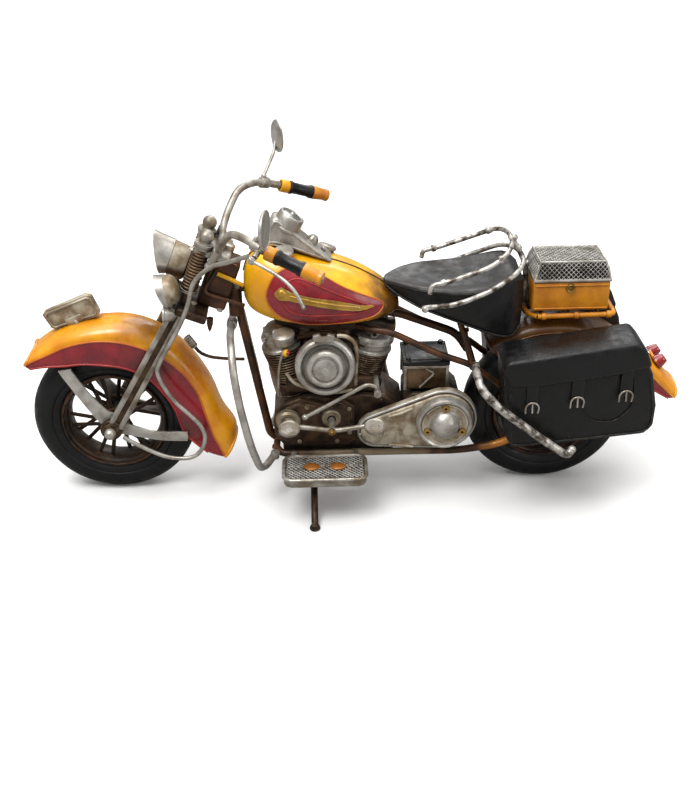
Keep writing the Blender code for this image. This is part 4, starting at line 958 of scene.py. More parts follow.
make_mudguard("front_fender", FRONT_AXLE, 137.5, -20, 64, (FRONT_CROWN, FRONT_SHOULDER, FRONT_SKIRT),
              (6.5, 9), 0.85, amber, bead_orange)
make_mudguard("rear_fender", REAR_AXLE, 8, 128, 44, (REAR_CROWN, REAR_SHOULDER, REAR_SKIRT),
              (4, 0), 0.6, rear_amber, rear_amber)
make_fender_stays()
make_number_plate()
make_brake_cable()


# ---------------------------------------------------------------- frame

def make_main_frame():
    parts = [
        tube([(-66, 0, 129), (-40, 0, 121), (-8, 0, 114.5), (23, 0, 110.5), (57, 0, 97), (64, 0, 86)],
             2.4, 6),
        tube([(-67, 0, 117), (-66, 0, 109), (-53, 0, 32), (-47, 0, 27.5)], 2.5, 5),
        cylinder((-68.8, 0, 112), (-68.8, 0, 129), 4.0, 28, edge=0.4),
        cylinder((-8, 0, 115), (-8, 0, 107), 2.0),
        tube([(65, -19.5, 85), (65, 19.5, 85)], 2.3),
        tube([(-49, -15, 27.3), (-49, 15, 27.3)], 2.0),
        tube([(40, -16, 26.8), (40, 16, 26.8)], 2.0),
    ]
    hole = circle((REAR_AXLE.x, REAR_AXLE.z), 2.3, 24)
    for side in (-1, 1):
        y = side * 16
        parts.append(tube([(-50, side * 8, 27.5), (-46, y, 27.2), (1, y, 27), (60, y, 26.6),
                           (84, side * 17, 31), (106, side * 17.4, 45)], 2.3))
        parts.append(tube([(-8, 0, 108), (4, side * 15, 108), (18, side * 19, 107.6), (44, side * 19, 93.5),
                           (65, side * 18, 85), (104, side * 17.4, 52)], 1.9))
        parts.append(tube([(65, side * 18, 85), (57, side * 13, 109.5)], 1.7))
        parts.append(plate(belt((106.5, 48.2), 5.4, (112.5, 48.2), 5.3, 40), side * 15.9, side * 18.4, 0.4,
                           [hole]))
        parts.append(cylinder((-27, side * 15, 25.5), (-27, side * 19.0, 24.8), 2.6))
        parts.append(screw_head((65, side * 19.6, 85), (0, side, 0), 2.6))
    show(merge(*parts), "main_frame", brown)


def make_neck():
    box = block(on_steering(2.2, 0, 13), (8.2, 7.2, 15.0), 22, 1.8)
    lid = block(on_steering(2.2, 0, 28), (7.4, 6.4, 0.9), 22, 0.7)
    show(merge(box, lid), "neck_box", neck_brown)
    rod = merge(tube([(-77, -8.2, 140.4), (-70, -8.4, 137), (-63, -8.2, 133)], 1.2, 4))
    show(rod, "neck_box", bright_amber, "neck_rod")
    low = [tube([(-77, -8.2, 143), (-86, -8.6, 129.4), (-74, -8.6, 125), (-63, -8.4, 121)], 1.1, 5),
           lathe([(0, 0), (1.0, 2.0), (1.8, 5.5), (1.9, 9), (0, 9)], (-84, -6.6, 104), (0.1, 0, 1), 24)]
    show(merge(*low), "neck_box", brown, "neck_lower_rod")
    ribs = [(1.1, 0)]
    for k in range(6):
        ribs += [(2.2, 0.2 + k * 1.3), (2.2, 0.9 + k * 1.3), (1.6, 1.1 + k * 1.3), (1.6, 1.5 + k * 1.3)]
    start, heading = Vector((-97, -9, 103)), Vector((0.5, -0.05, -0.75))
    show(lathe(ribs + [(0, 8.6)], start, heading, 24), "main_frame", silver, "cable_connector")
    cable = [start + heading * 8, (-90, -9, 92.5), (-84, -7, 88.4), (-74, -4, 85.4), (-65.6, -2.6, 84.2)]
    show(tube(smooth_path(cable, 24), 1.0, 0), "main_frame", rusty, "neck_cable")


def make_crash_bar():
    left = [(-71.6, 0, 106), (-71.6, -18, 108), (-70, -33, 104), (-69, -41, 95), (-66.5, -44, 76),
            (-62, -43, 50), (-58, -33, 28), (-55, -21.4, 22.5), (-50, -21.4, 30)]
    right = [(x, -y, z) for x, y, z in left[1:]]
    parts = [tube(left[::-1] + right, 2.2, 9, 7),
             cylinder((-71.6, -3.4, 106.2), (-71.6, 3.4, 106.2), 3.0, edge=0.4)]
    for side in (-1, 1):
        parts.append(cylinder((-50, side * 21.4, 28), (-49.4, side * 21.4, 32), 2.7, edge=0.4))
    show(merge(*parts), "crash_bar", bright_silver)


make_main_frame()
make_neck()
make_crash_bar()


# ---------------------------------------------------------------- tank and console

# Each station is x, lowest z, highest z and half width.
TANK_STATIONS = [(-63, 125, 139, 8), (-60, 120.5, 147, 14), (-54, 117, 151.5, 18.5), (-45, 114.6, 152, 22.5),
                 (-33, 112.8, 149.6, 24.5), (-18, 112, 145.4, 24.6), (-3, 112, 140, 23), (10, 113, 133, 19),
                 (18, 114.6, 127, 14), (23, 117, 122.5, 8.5)]
PANEL = [(-50, 131), (-48.5, 137.5), (-45, 143), (-39, 146), (-31, 145.6), (-21, 142.4), (-8, 135.4),
         (6, 128.8), (12.6, 125.2), (13, 121.6), (8, 118), (-3, 116.2), (-15, 115), (-26, 114.6),
         (-34, 116.2), (-42, 119.4), (-47.4, 124.6)]
INNER_LINE = [(-41, 132), (-40, 138), (-36, 141), (-31, 141), (-24, 138.2), (-10, 132), (2, 126.6),
              (8, 123.4), (2, 121.8), (-12, 121.4), (-28, 121.6), (-36, 123.6), (-40, 127.4)]
GOLD_BAR = [(-45, 134.4), (-41.6, 137.4), (-38, 135.2), (-25, 131.8), (-13, 129.6), (0, 126), (8, 124.2),
            (0, 123.2), (-14, 125.4), (-26, 128), (-38, 130.6), (-43, 131)]


def tank_rings(inner):
    """Outlines of one tank half at many x, from the inner face outwards and over the top."""
    rows = []
    for x, low, high, wide in TANK_STATIONS:
        tall = high - low
        rows.append([(x, inner, low), (x, max(wide * 0.62, inner), low), (x, wide * 0.9, low + tall * 0.12),
                     (x, wide, low + tall * 0.34), (x, wide * 0.93, low + tall * 0.64),
                     (x, wide * 0.70, low + tall * 0.88), (x, max(inner, wide * 0.42), high - tall * 0.01),
                     (x, inner, high)])
    rings = []
    for row in smooth_rows(rows, 46):
        rings.append(smooth_path(row, 30))
    return rings


def on_tank(tree, x, z, lift):
    """The point of the tank's side at this x and z, lifted off the surface by lift millimetres."""
    start = Vector((x * MM, -0.06, z * MM))
    hit, normal, _, _ = tree.ray_cast(start, Vector((0, 1, 0)))
    if hit is None:
        hit, normal, _, _ = tree.find_nearest(Vector((x * MM, -0.018, z * MM)))
    if normal.y > 0:
        normal = -normal
    return (hit + normal * lift * MM) / MM


def patch_on_tank(tree, outline, middle, lift, thick, rings=7, count=110):
    """A sheet laid on the tank's side within an outline, as rings that shrink to its middle."""
    loop = [Vector((p.x, p.y)) for p in smooth_loop([Vector(p) for p in outline], count)]
    middle = Vector(middle)
    outer, inner = [], []
    for k in range(rings + 1):
        share = 1 - k / rings * 0.995
        spots = [middle + (p - middle) * share for p in loop]
        outer.append([on_tank(tree, p.x, p.y, lift) for p in spots + spots[:1]])
        inner.append([on_tank(tree, p.x, p.y, lift - thick) for p in spots + spots[:1]])
    return sheet_between(outer, inner, 60)


def make_tank():
    rings = tank_rings(0.45)
    left = loft([[(p.x, -p.y, p.z) for p in ring] for ring in rings], sharp=50)
    bm = bmesh.new()
    bm.from_mesh(left.data)
    tree = BVHTree.FromBMesh(bm)
    bm.free()
    panel = patch_on_tank(tree, PANEL, (-22, 129), 0.35, 0.7)
    outline = smooth_loop([Vector(p) for p in PANEL], 120)
    ridge = tube([on_tank(tree, p.x, p.y, 0.3) for p in outline], 0.5, 0, resolution=2, closed=True)
    line = smooth_loop([Vector(p) for p in INNER_LINE], 100)
    inner = tube([on_tank(tree, p.x, p.y, 0.5) for p in line], 0.42, 0, resolution=2, closed=True)
    badge = patch_on_tank(tree, GOLD_BAR, (-24, 129.8), 1.5, 1.6, 4, 90)
    button = ball(on_tank(tree, -41.4, 134, 1.2), 2.5, (1, 0.55, 1))
    spine = tube([on_tank(tree, x, z, 1.6) for x, z in ((-37, 133), (-25, 130), (-13, 127.4), (0, 124.7))],
                 0.5, 0)
    badge = merge(badge, button, spine)
    for word, side in SIDES:
        node = "fuel_tank_" + word
        for shape, look, tag in ((left, tank_paint, ""), (panel, crimson, "_panel"),
                                 (ridge, bead_orange, "_panel_edge"), (inner, hem_red, "_panel_line"),
                                 (badge, gold, "_bar")):
            made = mirrored(shape) if side > 0 else copy_of(shape)
            show(made, node, look, node + tag + "_look" if tag else None)
    for spare in (left, panel, ridge, inner, badge):
        bpy.data.objects.remove(spare)
    seam = [(p[-1].x, 0, p[-1].z - 0.2) for p in rings]
    show(tube(seam, 0.75, 0), "fuel_tank_left", rusty, "fuel_tank_seam")


def copy_of(shape):
    """The shape once more, with its place moved into its mesh."""
    mesh = shape.data.copy()
    mesh.transform(shape.matrix_world)
    return link("shape", mesh)


def make_console():
    outline = [(-51, 157), (-48.0, 165.6), (-45.6, 170.2), (-42.4, 170.2), (-27, 156.6), (-14, 146),
               (-14.6, 144.6), (-22, 147.2), (-37, 153.4), (-45, 156)]
    body = plate(outline, -6.6, 6.6, 0.9)
    foot = block((-32, 0, 148), (9, 2.4, 6.5), 22, 0.5)
    ring = [(-49.6, 157.8), (-46.8, 165.4), (-44.8, 169.0), (-42.8, 168.8), (-27.4, 155.6), (-16.6, 146.8),
            (-22.4, 149), (-36.6, 154.8), (-44.6, 157.4)]
    rims = [tube([(x, y, z) for x, z in ring], 0.55, 0, resolution=2, closed=True) for y in (-6.7, 6.7)]
    knob = lathe([(0, 5.2), (1.8, 4.8), (3.0, 3.4), (3.3, 1.8), (3.3, 0.4), (2.4, -1.4), (0, -1.4)],
                 (-25.4, 0, 154.0), (0.6, 0, 0.8), 32)
    tail = screw_head((-18.4, 0, 150.4), (0.7, 0, 0.72), 1.7, 20)
    show(merge(body, foot, knob, tail, *rims), "dash_console", bright_silver)
    normal = Vector((0.52, 0, 0.855)).normalized()
    base = Vector((-38.8, 0, 163.6))
    drum = lathe([(0, 7.6), (5.4, 7.6), (6.0, 8.2), (6.9, 8.0), (7.4, 7.2), (7.6, 3.0), (7.8, 1.2),
                  (8.3, 0.8), (8.3, 0), (0, 0)], base, normal, 48)
    show(drum, "gauge", bright_silver)
    glass = lathe([(0, 9.4), (1.2, 9.2), (1.6, 8.4), (3.6, 8.3), (5.2, 7.9), (5.6, 7.4), (0, 7.0)], base,
                  normal, 40)
    show(glass, "gauge", lamp_glass, "gauge_glass")


def make_cap(x, side, surface, tilt, node, drum):
    """A fuel cap on the tank's top, leaning back by tilt degrees. A drum is taller and has a bright neck."""
    axis = Vector((math.sin(math.radians(tilt)), side * 0.22, 1)).normalized()
    place = (x, side * 12.2, surface)
    tall = 5.6 if drum else 4.4
    top = [(0, tall), (4.4, tall - 0.2), (5.2, tall - 0.9), (5.3, tall - 2.2), (4.6, tall - 2.5),
           (0, tall - 2.5)]
    show(lathe(top, place, axis, 36), node, bright_silver)
    neck = [(0, tall - 2.4), (4.5, tall - 2.4), (4.6, 0.6), (5.4, 0.2), (5.4, -0.8), (0, -0.8)]
    show(lathe(neck, place, axis, 36), node, silver if drum else bead_orange, node + "_neck")


make_tank()
make_console()
make_cap(-40, -1, 151.6, 4, "fuel_cap_left", False)
make_cap(-17.5, 1, 142.6, 22, "fuel_cap_right", True)


# ---------------------------------------------------------------- engine

def make_crankcase():
    outline = [(-46, 38), (-36, 33.6), (20, 33.6), (26, 40), (26, 56), (16, 64.6), (2, 66), (-12, 63),
               (-28, 65.6), (-44, 61), (-50, 50)]
    parts = [plate(outline, -16, 16, 1.6), block((-12, 0, 30.6), (33, 13.2, 3.8), 0, 1.4)]
    parts.append(cylinder((-36, 0, 60), (-38.4, 0, 69.8), 9.6, 32, edge=0.8))
    parts.append(cylinder((4, 0, 58), (5, 0, 69.8), 9.6, 32, edge=0.8))
    for side in (-1, 1):
        for x, z in ((-44, 44), (-30, 36.6), (-8, 36.4), (14, 37), (22, 50), (12, 62), (-20, 61)):
            parts.append(screw_head((x, side * 15.8, z), (0, side, 0), 1.5))
    show(merge(*parts), "crankcase", rusty)


FINS = 12


def make_barrel(base, lean, height, node):
    """A finned cylinder that narrows towards its foot."""
    axis = Vector((math.sin(lean), 0, math.cos(lean)))
    front = node == "front_cylinder"
    pitch = height / FINS
    profile = [(0.0, height)]
    for i in range(FINS):
        top = height - i * pitch
        reach = (12.0 - 0.27 * i) if front else (11.2 - 0.24 * i)
        profile += [(reach - 0.2, top), (reach, top - pitch * 0.12), (reach, top - pitch * 0.34),
                    (reach - 0.2, top - pitch * 0.46), (reach - 2.6, top - pitch * 0.5),
                    (reach - 2.6, top - pitch)]
    profile += [(0.0, 0.0)]
    show(lathe(profile, base, axis, 48), node, bronze)


def make_head(base, lean, height, node):
    """A round flange under a stepped dome with four nuts and an eye bolt."""
    axis = Vector((math.sin(lean), 0, math.cos(lean)))
    low = Vector(base) + axis * (height + 0.3)
    front = node == "front_head"
    flange = [(0, 0.3), (11.5, 0.3), (12.0, 0.8), (12.0, 2.2), (11.4, 2.8), (10.3, 3.3), (10.1, 6.6),
              (0, 6.6)]
    parts = [lathe(flange, low, axis, 56)]
    wide = 10.6 if front else 12.6
    dome = [(0, 16.4), (2.6, 16.2), (5.6, 15.0), (7.0, 13.6), (7.2, 12.2), (8.6, 11.8), (wide - 1.4, 10.8),
            (wide - 0.6, 9.6), (wide, 8.6), (wide, 7.0), (wide - 0.8, 6.2), (0, 6.2)]
    parts.append(lathe(dome, low, axis, 56))
    across = Vector((axis.z, 0, -axis.x))
    for side in (-1, 1):
        for shift in (-8.0, 8.0):
            place = low + axis * 8.8 + across * shift + Vector((0, side * 7.6, 0))
            parts.append(screw_head(place, axis, 1.5, tall=1.8))
    show(merge(*parts), node, silver if front else bright_silver)
    eye = lathe([(0.9, 2.0), (1.3, 2.6), (2.2, 2.4), (2.5, 1.4), (2.4, 0), (0, 0), (0, 0.9), (0.9, 0.9)],
                low + axis * 12.0 + Vector((0, -7.6, 0)), (0, -0.8, 0.6), 24)
    show(eye, node, silver, node + "_bolt")


def make_air_cleaner():
    axis = Vector((0, -math.cos(math.radians(10)), math.sin(math.radians(10))))
    centre = Vector((-19, -25.5, 91.6))
    profile = [(0, 11.4), (4.4, 11.2), (6.2, 10.6), (6.6, 9.8), (7.0, 9.6), (7.6, 10.4), (8.6, 10.8),
               (9.6, 10.4), (10.4, 9.2), (10.7, 3.6), (12.6, 3.4), (12.9, 5.0), (13.8, 6.0), (15.2, 5.9),
               (16.2, 5.2), (16.8, 4.0), (17.0, 1.2), (16.4, 0), (0, 0)]
    parts = [lathe(profile, centre, axis, 64, sharp=24)]
    parts.append(tube([(-19, -27, 92), (-17, -2, 92)], 5.0, 0))
    parts.append(cylinder((-17.5, -8, 79), (-17.5, -8, 92), 5.2, 32, edge=0.6))
    parts.append(screw_head(centre + axis * 11.2, axis, 1.3, 20, 0.5))
    show(merge(*parts), "air_cleaner", bright_silver)
    bracket = plate([(-25, 108), (-25.6, 111.4), (-22, 112.4), (-20.6, 110.6), (-18.4, 110.6), (-17, 112.4),
                     (-13.4, 111.2), (-14, 107.6)], -30.5, -27.5, 0.5)
    show(bracket, "air_cleaner", silver, "air_cleaner_bracket")


def make_engine_pipes():
    """The breather pipe, a wire, the cup and knob on the front head, and dark pipework under the tank."""
    pipe = tube(smooth_path([(-12, -27, 110), (-7, -27.4, 109.6), (-2.6, -27, 105.4), (-1.2, -26, 98),
                             (-1.8, -24, 88), (-2, -21, 76)], 30), 1.15, 0)
    show(pipe, "air_cleaner", cream, "breather_pipe")
    wire = tube(smooth_path([(-41, -22, 85), (-37, -24, 80), (-31, -25, 77), (-24, -25.6, 74.8),
                             (-14, -25, 73.2), (-4, -23, 73.6)], 34), 0.95, 0)
    show(wire, "air_cleaner", cream, "engine_wire")
    cup = lathe([(0, 0), (4.2, 0.4), (5.4, 2.0), (5.6, 5.0), (6.2, 5.6), (6.2, 7.4), (5.2, 8.2), (2.8, 9.0),
                 (0, 9.2)], (-41.2, -15.4, 99.6), (-0.1, -0.15, 1), 40)
    show(cup, "front_head", bright_silver, "front_head_cup")
    show(ball((-40.6, -22.2, 97.6), 2.1), "front_head", bright_amber, "front_head_knob")
    show(ball((-39.6, -22.9, 97.9), 1.6), "front_head", glass_red, "front_head_knob_cap")
    lead = tube(smooth_path([(-41.4, -19, 97), (-43.6, -17.6, 92), (-45.4, -16.6, 82), (-46.2, -15.6, 67)],
                            26), 0.75, 0)
    show(lead, "front_head", silver, "front_head_lead")
    runs = (([(-46, 0, 106), (-30, -6, 108), (-12, -8, 107), (6, -7, 108), (20, -4, 104)], 3.2),
            ([(-44, 8, 101), (-24, 6, 103), (-4, 5, 102), (22, 7, 100)], 4.2),
            ([(-34, -6, 100), (-22, -9, 103), (-6, -9, 100), (4, -7, 94)], 2.2))
    tract = [tube(smooth_path(path, 30), radius, 0) for path, radius in runs]
    tract += [block((-12, 4, 103), (30, 8, 6.5), 3, 3), block((-17, 3, 86), (15, 9, 12), 0, 2.5),
              ball((-30, -5, 104), 4.2), ball((-8, -6, 103), 4.6), block((-16, 0, 71), (26, 13, 5), 0, 2)]
    show(merge(*tract), "air_cleaner", rusty, "inlet_tract")


def make_cam_cover():
    outline = [(-49, 41), (-44, 35), (-6, 35), (-2, 38), (-2, 60), (-10, 66), (-20, 62), (-34, 66.5),
               (-45, 62), (-50, 52)]
    inner = [(-46.4, 42), (-42.6, 37.6), (-7, 37.6), (-4.6, 40), (-4.6, 59), (-10.6, 63), (-20, 59.4),
             (-34, 63.6), (-43.6, 59.8), (-47.2, 51.4)]
    cover = plate(outline, -19.6, -16.3, 1.0)
    raised = plate(inner, -21.0, -19.0, 0.9)
    show(merge(cover, raised), "cam_cover", rusty)
    boss = [(0, 4.2), (2.38, 4.1), (3.5, 3.2), (4.62, 3.9), (6.02, 3.8), (7, 2.8), (7.42, 0), (0, 0)]
    ring = [(2.2, 0), (2.2, 3.2), (2.6, 3.8), (4.8, 3.6), (5.5, 3.0), (5.8, 0)]
    parts = [lathe(boss, (-41, -20.6, 53), (0, -1, 0), 40),
             lathe(ring, (-16, -20.6, 55), (0, -1, 0), 40, closed=True)]
    for x, z in ((-46, 44), (-35, 38.6), (-13, 38.4), (-5.4, 44), (-5.6, 60), (-24, 58.6), (-30, 61.6),
                 (-31, 48)):
        parts.append(screw_head((x, -20.6, z), (0, -1, 0), 1.35, 20, 1.1))
    show(merge(*parts), "cam_cover", cast, "cam_cover_bosses")


DRIVE_END, CLUTCH_END = (9.5, 47.5), (48.5, 54)  # centres of the primary cover's two round ends


def make_primary():
    """The primary cover with its boss, rim and ribs, and the clutch cover with three bolts."""
    outline = belt(DRIVE_END, 10.8, CLUTCH_END, 19.4, 64)
    inner = belt(DRIVE_END, 8.8, CLUTCH_END, 17.2, 64)
    parts = [plate(outline, -25.4, -21.4, 0.9), plate(inner, -27.6, -25.0, 1.2)]
    boss = [(0, 3.6), (2.2, 3.5), (2.8, 2.6), (4.4, 2.6), (5.2, 2.2), (6.0, 0.9), (6.3, 0), (0, 0)]
    parts.append(lathe(boss, (8, -27.2, 46.5), (0, -1, 0), 40))
    for angle in range(0, 360, 60):
        place = (8 + 7.6 * math.cos(math.radians(angle)), -27.3, 46.5 + 6.2 * math.sin(math.radians(angle)))
        parts.append(screw_head(place, (0, -1, 0), 0.8, 12, 0.6))
    parts.append(tube([(17, -27.8, 58), (24, -27.9, 60), (30, -27.8, 63)], 0.8, 3))
    parts.append(tube([(17, -27.8, 39), (24, -27.9, 38.4), (31, -27.8, 37.4)], 0.8, 3))
    show(merge(*parts), "primary_cover", cream)
    rim = [(x, -25.5, z) for x, z in belt(DRIVE_END, 9.9, CLUTCH_END, 18.4, 64)]
    show(tube(rim, 0.95, 0, resolution=2, closed=True), "primary_cover", bright_silver, "primary_cover_rim")
    profile = [(0.0, 9.2), (2.2, 9.0), (4.6, 8.0), (6.8, 6.2), (8.0, 4.6), (8.4, 3.4), (9.6, 2.6),
               (12.4, 2.6), (13.4, 3.2), (14.4, 4.0), (15.4, 3.6), (16.2, 2.2), (16.4, 0.0), (0.0, 0.0)]
    place = Vector((48.8, -27.9, 53.6))
    show(lathe(profile, place, (0, -1, 0), 72, sharp=26), "clutch_cover", bright_silver)
    dish = lathe([(8.8, 2.9), (9.6, 2.75), (12.4, 2.75), (13.2, 3.2)], place, (0, -1, 0), 72)
    thick = dish.modifiers.new("thick", "SOLIDIFY")
    thick.thickness = 0.2 * MM
    show(settle(dish), "clutch_cover", cream, "clutch_cover_dish")
    bolts = []
    for angle in (90, 203, 335):
        spot = place + Vector((10.9 * math.cos(math.radians(angle)), -2.4,
                               10.9 * math.sin(math.radians(angle))))
        bolts.append(lathe([(0.8, 0.8), (0.9, 2.0), (1.9, 1.9), (2.1, 1.0), (2.1, 0), (0, 0), (0, 0.8)], spot,
                           (0, -1, 0), 20))
    show(merge(*bolts), "clutch_cover", brass, "clutch_cover_bolts")


def make_gearbox():
    outline = [(26.6, 38), (30, 35), (54, 35), (60, 42), (60, 60), (54, 66), (31, 66), (26.6, 62)]
    parts = [plate(outline, -15.6, 15.6, 1.6), cylinder((48.8, -15, 53.6), (48.8, -21.1, 53.6), 7.0, 32)]
    for side in (-1, 1):
        for x, z in ((31, 39), (54, 40), (56, 58), (34, 62)):
            parts.append(screw_head((x, side * 15.4, z), (0, side, 0), 1.5))
    show(merge(*parts), "gearbox", rusty)


def make_oil_tank():
    show(block((38.9, -2.3, 76), (12.1, 12.3, 8), 0, 1.2), "oil_tank", bronze)
    posts = [block((x, y, 76), (0.9, 0.9, 8), 0, 0.4) for x in (26.8, 51.0) for y in (-14.6, 10)]
    posts.append(tube([(38.4, -14.9, 81.6), (43.6, -15.0, 78.6), (35.4, -14.9, 69.6)], 0.75, 1.6))
    posts.append(block((38.9, -14.8, 82.8), (13.2, 0.8, 0.8), 0, 0.3))
    show(merge(*posts), "oil_tank", silver, "oil_tank_trim")
    lid = [block((38.9, -2.3, 85.0), (13.5, 13.3, 1.4), 0, 0.7),
           block((38.9, -2.3, 86.4), (11.6, 11.2, 0.5), 0, 0.4)]
    for x in (28.6, 49.2):
        for y in (-12.6, 8.0):
            lid.append(screw_head((x, y, 86.2), (0, 0, 1), 1.7, tall=1.9))
            lid.append(cylinder((x, y, 86.0), (x, y, 86.8), 2.5, edge=0.2))
    show(merge(*lid), "oil_tank", band_black, "oil_tank_lid")


SILENCER_START, SILENCER_WAY = (73, 28, 35), (1, 0.02, 0.03)


def make_exhaust():
    front = tube([(-50, 14.2, 92), (-52, 22.6, 89), (-50, 23.2, 60), (-44, 23.4, 37), (-30, 23.4, 34.6),
                  (58, 26, 35), (76, 28, 35)], 3.1, 12, 7)
    rear = tube([(10, 14.2, 89), (13, 22.6, 86), (16, 23.2, 60), (24, 24.2, 37), (40, 25.4, 34.8)], 3.1, 12,
                7)
    profile = [(0, 66), (4.0, 66), (4.2, 84.4), (5.2, 85), (6.2, 84.4), (6.8, 78), (6.9, 74), (6.6, 73.4),
               (6.6, 8), (6.9, 7.4), (6.6, 5.6), (4.6, 2), (3.4, 0), (0, 0)]
    silencer = lathe(profile, SILENCER_START, SILENCER_WAY, 40)
    bands = [lathe([(6.5, k), (7.2, k + 0.3), (7.2, k + 2.4), (6.5, k + 2.7)], SILENCER_START, SILENCER_WAY,
                   40, closed=True) for k in (18, 58)]
    show(merge(front, rear, silencer, *bands), "exhaust", silver)


FRONT_BASE, FRONT_LEAN, FRONT_HEIGHT = Vector((-38.6, 0, 70.2)), math.radians(-13), 21.0
BACK_BASE, BACK_LEAN, BACK_HEIGHT = Vector((5.1, 0, 70.2)), math.radians(8), 18.0
make_crankcase()
make_barrel(FRONT_BASE, FRONT_LEAN, FRONT_HEIGHT, "front_cylinder")
make_barrel(BACK_BASE, BACK_LEAN, BACK_HEIGHT, "rear_cylinder")
make_head(FRONT_BASE, FRONT_LEAN, FRONT_HEIGHT, "front_head")
make_head(BACK_BASE, BACK_LEAN, BACK_HEIGHT, "rear_head")
make_air_cleaner()
make_engine_pipes()
make_cam_cover()
make_primary()
make_gearbox()
make_oil_tank()
make_exhaust()


# ---------------------------------------------------------------- footboards, stand and pedal

def lattice(columns, rows, place, wire):
    """A diamond mesh of thin strands; place gives the point for shares (u, v) of its width and depth."""
    bm = bmesh.new()
    verts = {}

    def spot(i, j):
        i, j = min(max(i, 0), columns), min(max(j, 0), rows)
        if (i, j) not in verts:
            verts[i, j] = bm.verts.new(Vector(place(i / columns, j / rows)) * MM)
        return verts[i, j]

    for i in range(columns + 1):
        for j in range(rows + 1):
            if (i + j) % 2:
                corners = []
                for corner in (spot(i - 1, j), spot(i, j - 1), spot(i + 1, j), spot(i, j + 1)):
                    if corner not in corners:
                        corners.append(corner)
                if len(corners) > 2:
                    bm.faces.new(corners)
    made = mesh_object(bm)
    wires = made.modifiers.new("wires", "WIREFRAME")
    wires.thickness = wire * MM
    wires.use_even_offset = False
    made = settle(made)
    made.data.shade_smooth()
    return made


def make_floorboard(side, node):
    """A cornered slab with a rim, two arms, a diamond tread with a ridge and two copper ovals."""
    low_y, high_y = sorted((side * 28.0, side * 53.0))
    middle = (low_y + high_y) / 2
    ring = []
    for x, y in ((-44, low_y), (3, low_y), (3, high_y), (-44, high_y)):
        sx, sy = (1 if x < -20 else -1), (1 if y < middle else -1)
        corner = [(x + sx * 4.5, y), (x + sx * 1.3, y + sy * 1.3), (x, y + sy * 4.5)]
        ring += corner if sx * sy < 0 else corner[::-1]
    slab = loft([[(x, y, z) for x, y in ring] for z in (27.4, 31.8)])
    slab = rounded(slab, 0.7)
    edge = tube([(x, y, 32.4) for x, y in ring], 1.15, 0, closed=True)
    arms = []
    for x in (-38.5, -2):
        arms.append(tube([(x, side * 30, 29.6), (x, side * 18.9, 29)], 1.7, 0))
    holes = [block((-35.5, middle, 26.7), (5, 9, 0.6), 0, 0.4),
             block((-5.5, middle, 26.7), (5, 9, 0.6), 0, 0.4)]
    show(merge(edge, *arms, *holes), node, silver)
    show(slab, node, silver, node + "_base")

    def tread_point(u, v):
        x = -42.6 + 44.2 * u
        y = low_y + 1.4 + (high_y - low_y - 2.8) * v
        return x, y, 32.7 + max(0.0, 0.7 - abs(y - middle) * 0.35)

    tread = lattice(32, 18, tread_point, 0.6)
    show(tread, node, bright_silver, node + "_tread")
    ovals = []
    for x in (-28, -13):
        oval = lathe([(0, 0.7), (3.8, 0.6), (4.5, 0.2), (4.5, -0.8), (0, -0.8)], (x, middle, 33.5),
                     (0, 0, 1), 32)
        oval.data.transform(Matrix.Translation((0, middle * MM * 0.25, 0)) @ Matrix.Scale(0.75, 4, (0, 1, 0)))
        ovals.append(oval)
    show(merge(*ovals), node, copper, node + "_pads")


def make_kickstand():
    pivot, foot = Vector((-27, -22.5, 24)), Vector((-27, -55, 2))
    along = (foot - pivot).normalized()
    axis = Vector((0, along.z, -along.y)).normalized()
    parts = [tube([pivot, pivot.lerp(foot, 0.6), foot], 2.0, 6),
             cylinder(pivot - axis * 2.4, pivot + axis * 2.4, 2.8, 28, edge=0.4),
             lathe([(0, 0), (2.9, 0), (3.1, 0.8), (2.6, 2.2), (2.0, 3.4), (0, 4.2)], (-27, -55, 0),
                   (0, 0, 1), 28)]
    show(merge(*parts), "kickstand", rusty)


PEDAL_Y = -36.4


def make_rocker_pedal():
    path = ((-41, 58.5), (-28, 57), (-16, 54.6), (-2, 56.5), (8, 58.5))
    bar_shape = tube([(x, PEDAL_Y, z) for x, z in path], 1.5, 6, 6)
    shaft = cylinder((-16, -37.6, 55), (-16, -21.2, 55), 1.8)
    pads = []
    for x in (-40, 8):
        pads.append(lathe([(0, 2.2), (2.0, 2.1), (2.4, 1.7), (4.8, 1.7), (5.6, 2.2), (6.0, 1.6), (6.0, 0.4),
                           (5.4, 0), (0, 0)], (x, -40.4, 58.2), (0, -0.25, 0.97), 36))
        pads.append(cylinder((x, -38.6, 57.4), (x, -40.2, 58.6), 1.6))
    show(merge(bar_shape, shaft, *pads), "rocker_pedal", silver)
    bolt = merge(screw_head((-16, -37.2, 55), (0, -1, 0), 2.3, 6, 1.6), ball((-16, -39.0, 55), 1.2))
    show(bolt, "rocker_pedal", brass, "rocker_pedal_bolt")


def make_shift_rod():
    y = -32.2
    parts = [tube([(-31, y, 61.5), (4, y, 82), (9.4, y, 80.5), (10, y, 76)], 1.15, 4),
             cylinder((10, y - 1.4, 76), (10, -13.2, 76), 1.5), ball((-31, y, 61.5), 1.9),
             cylinder((10, y - 1.8, 76), (10, y + 1.8, 76), 2.3, 6, edge=0.3)]
    show(merge(*parts), "shift_rod", silver)


for word, side in SIDES:
    make_floorboard(side, "floorboard_" + word)
make_kickstand()
make_rocker_pedal()
make_shift_rod()


# ---------------------------------------------------------------- seat

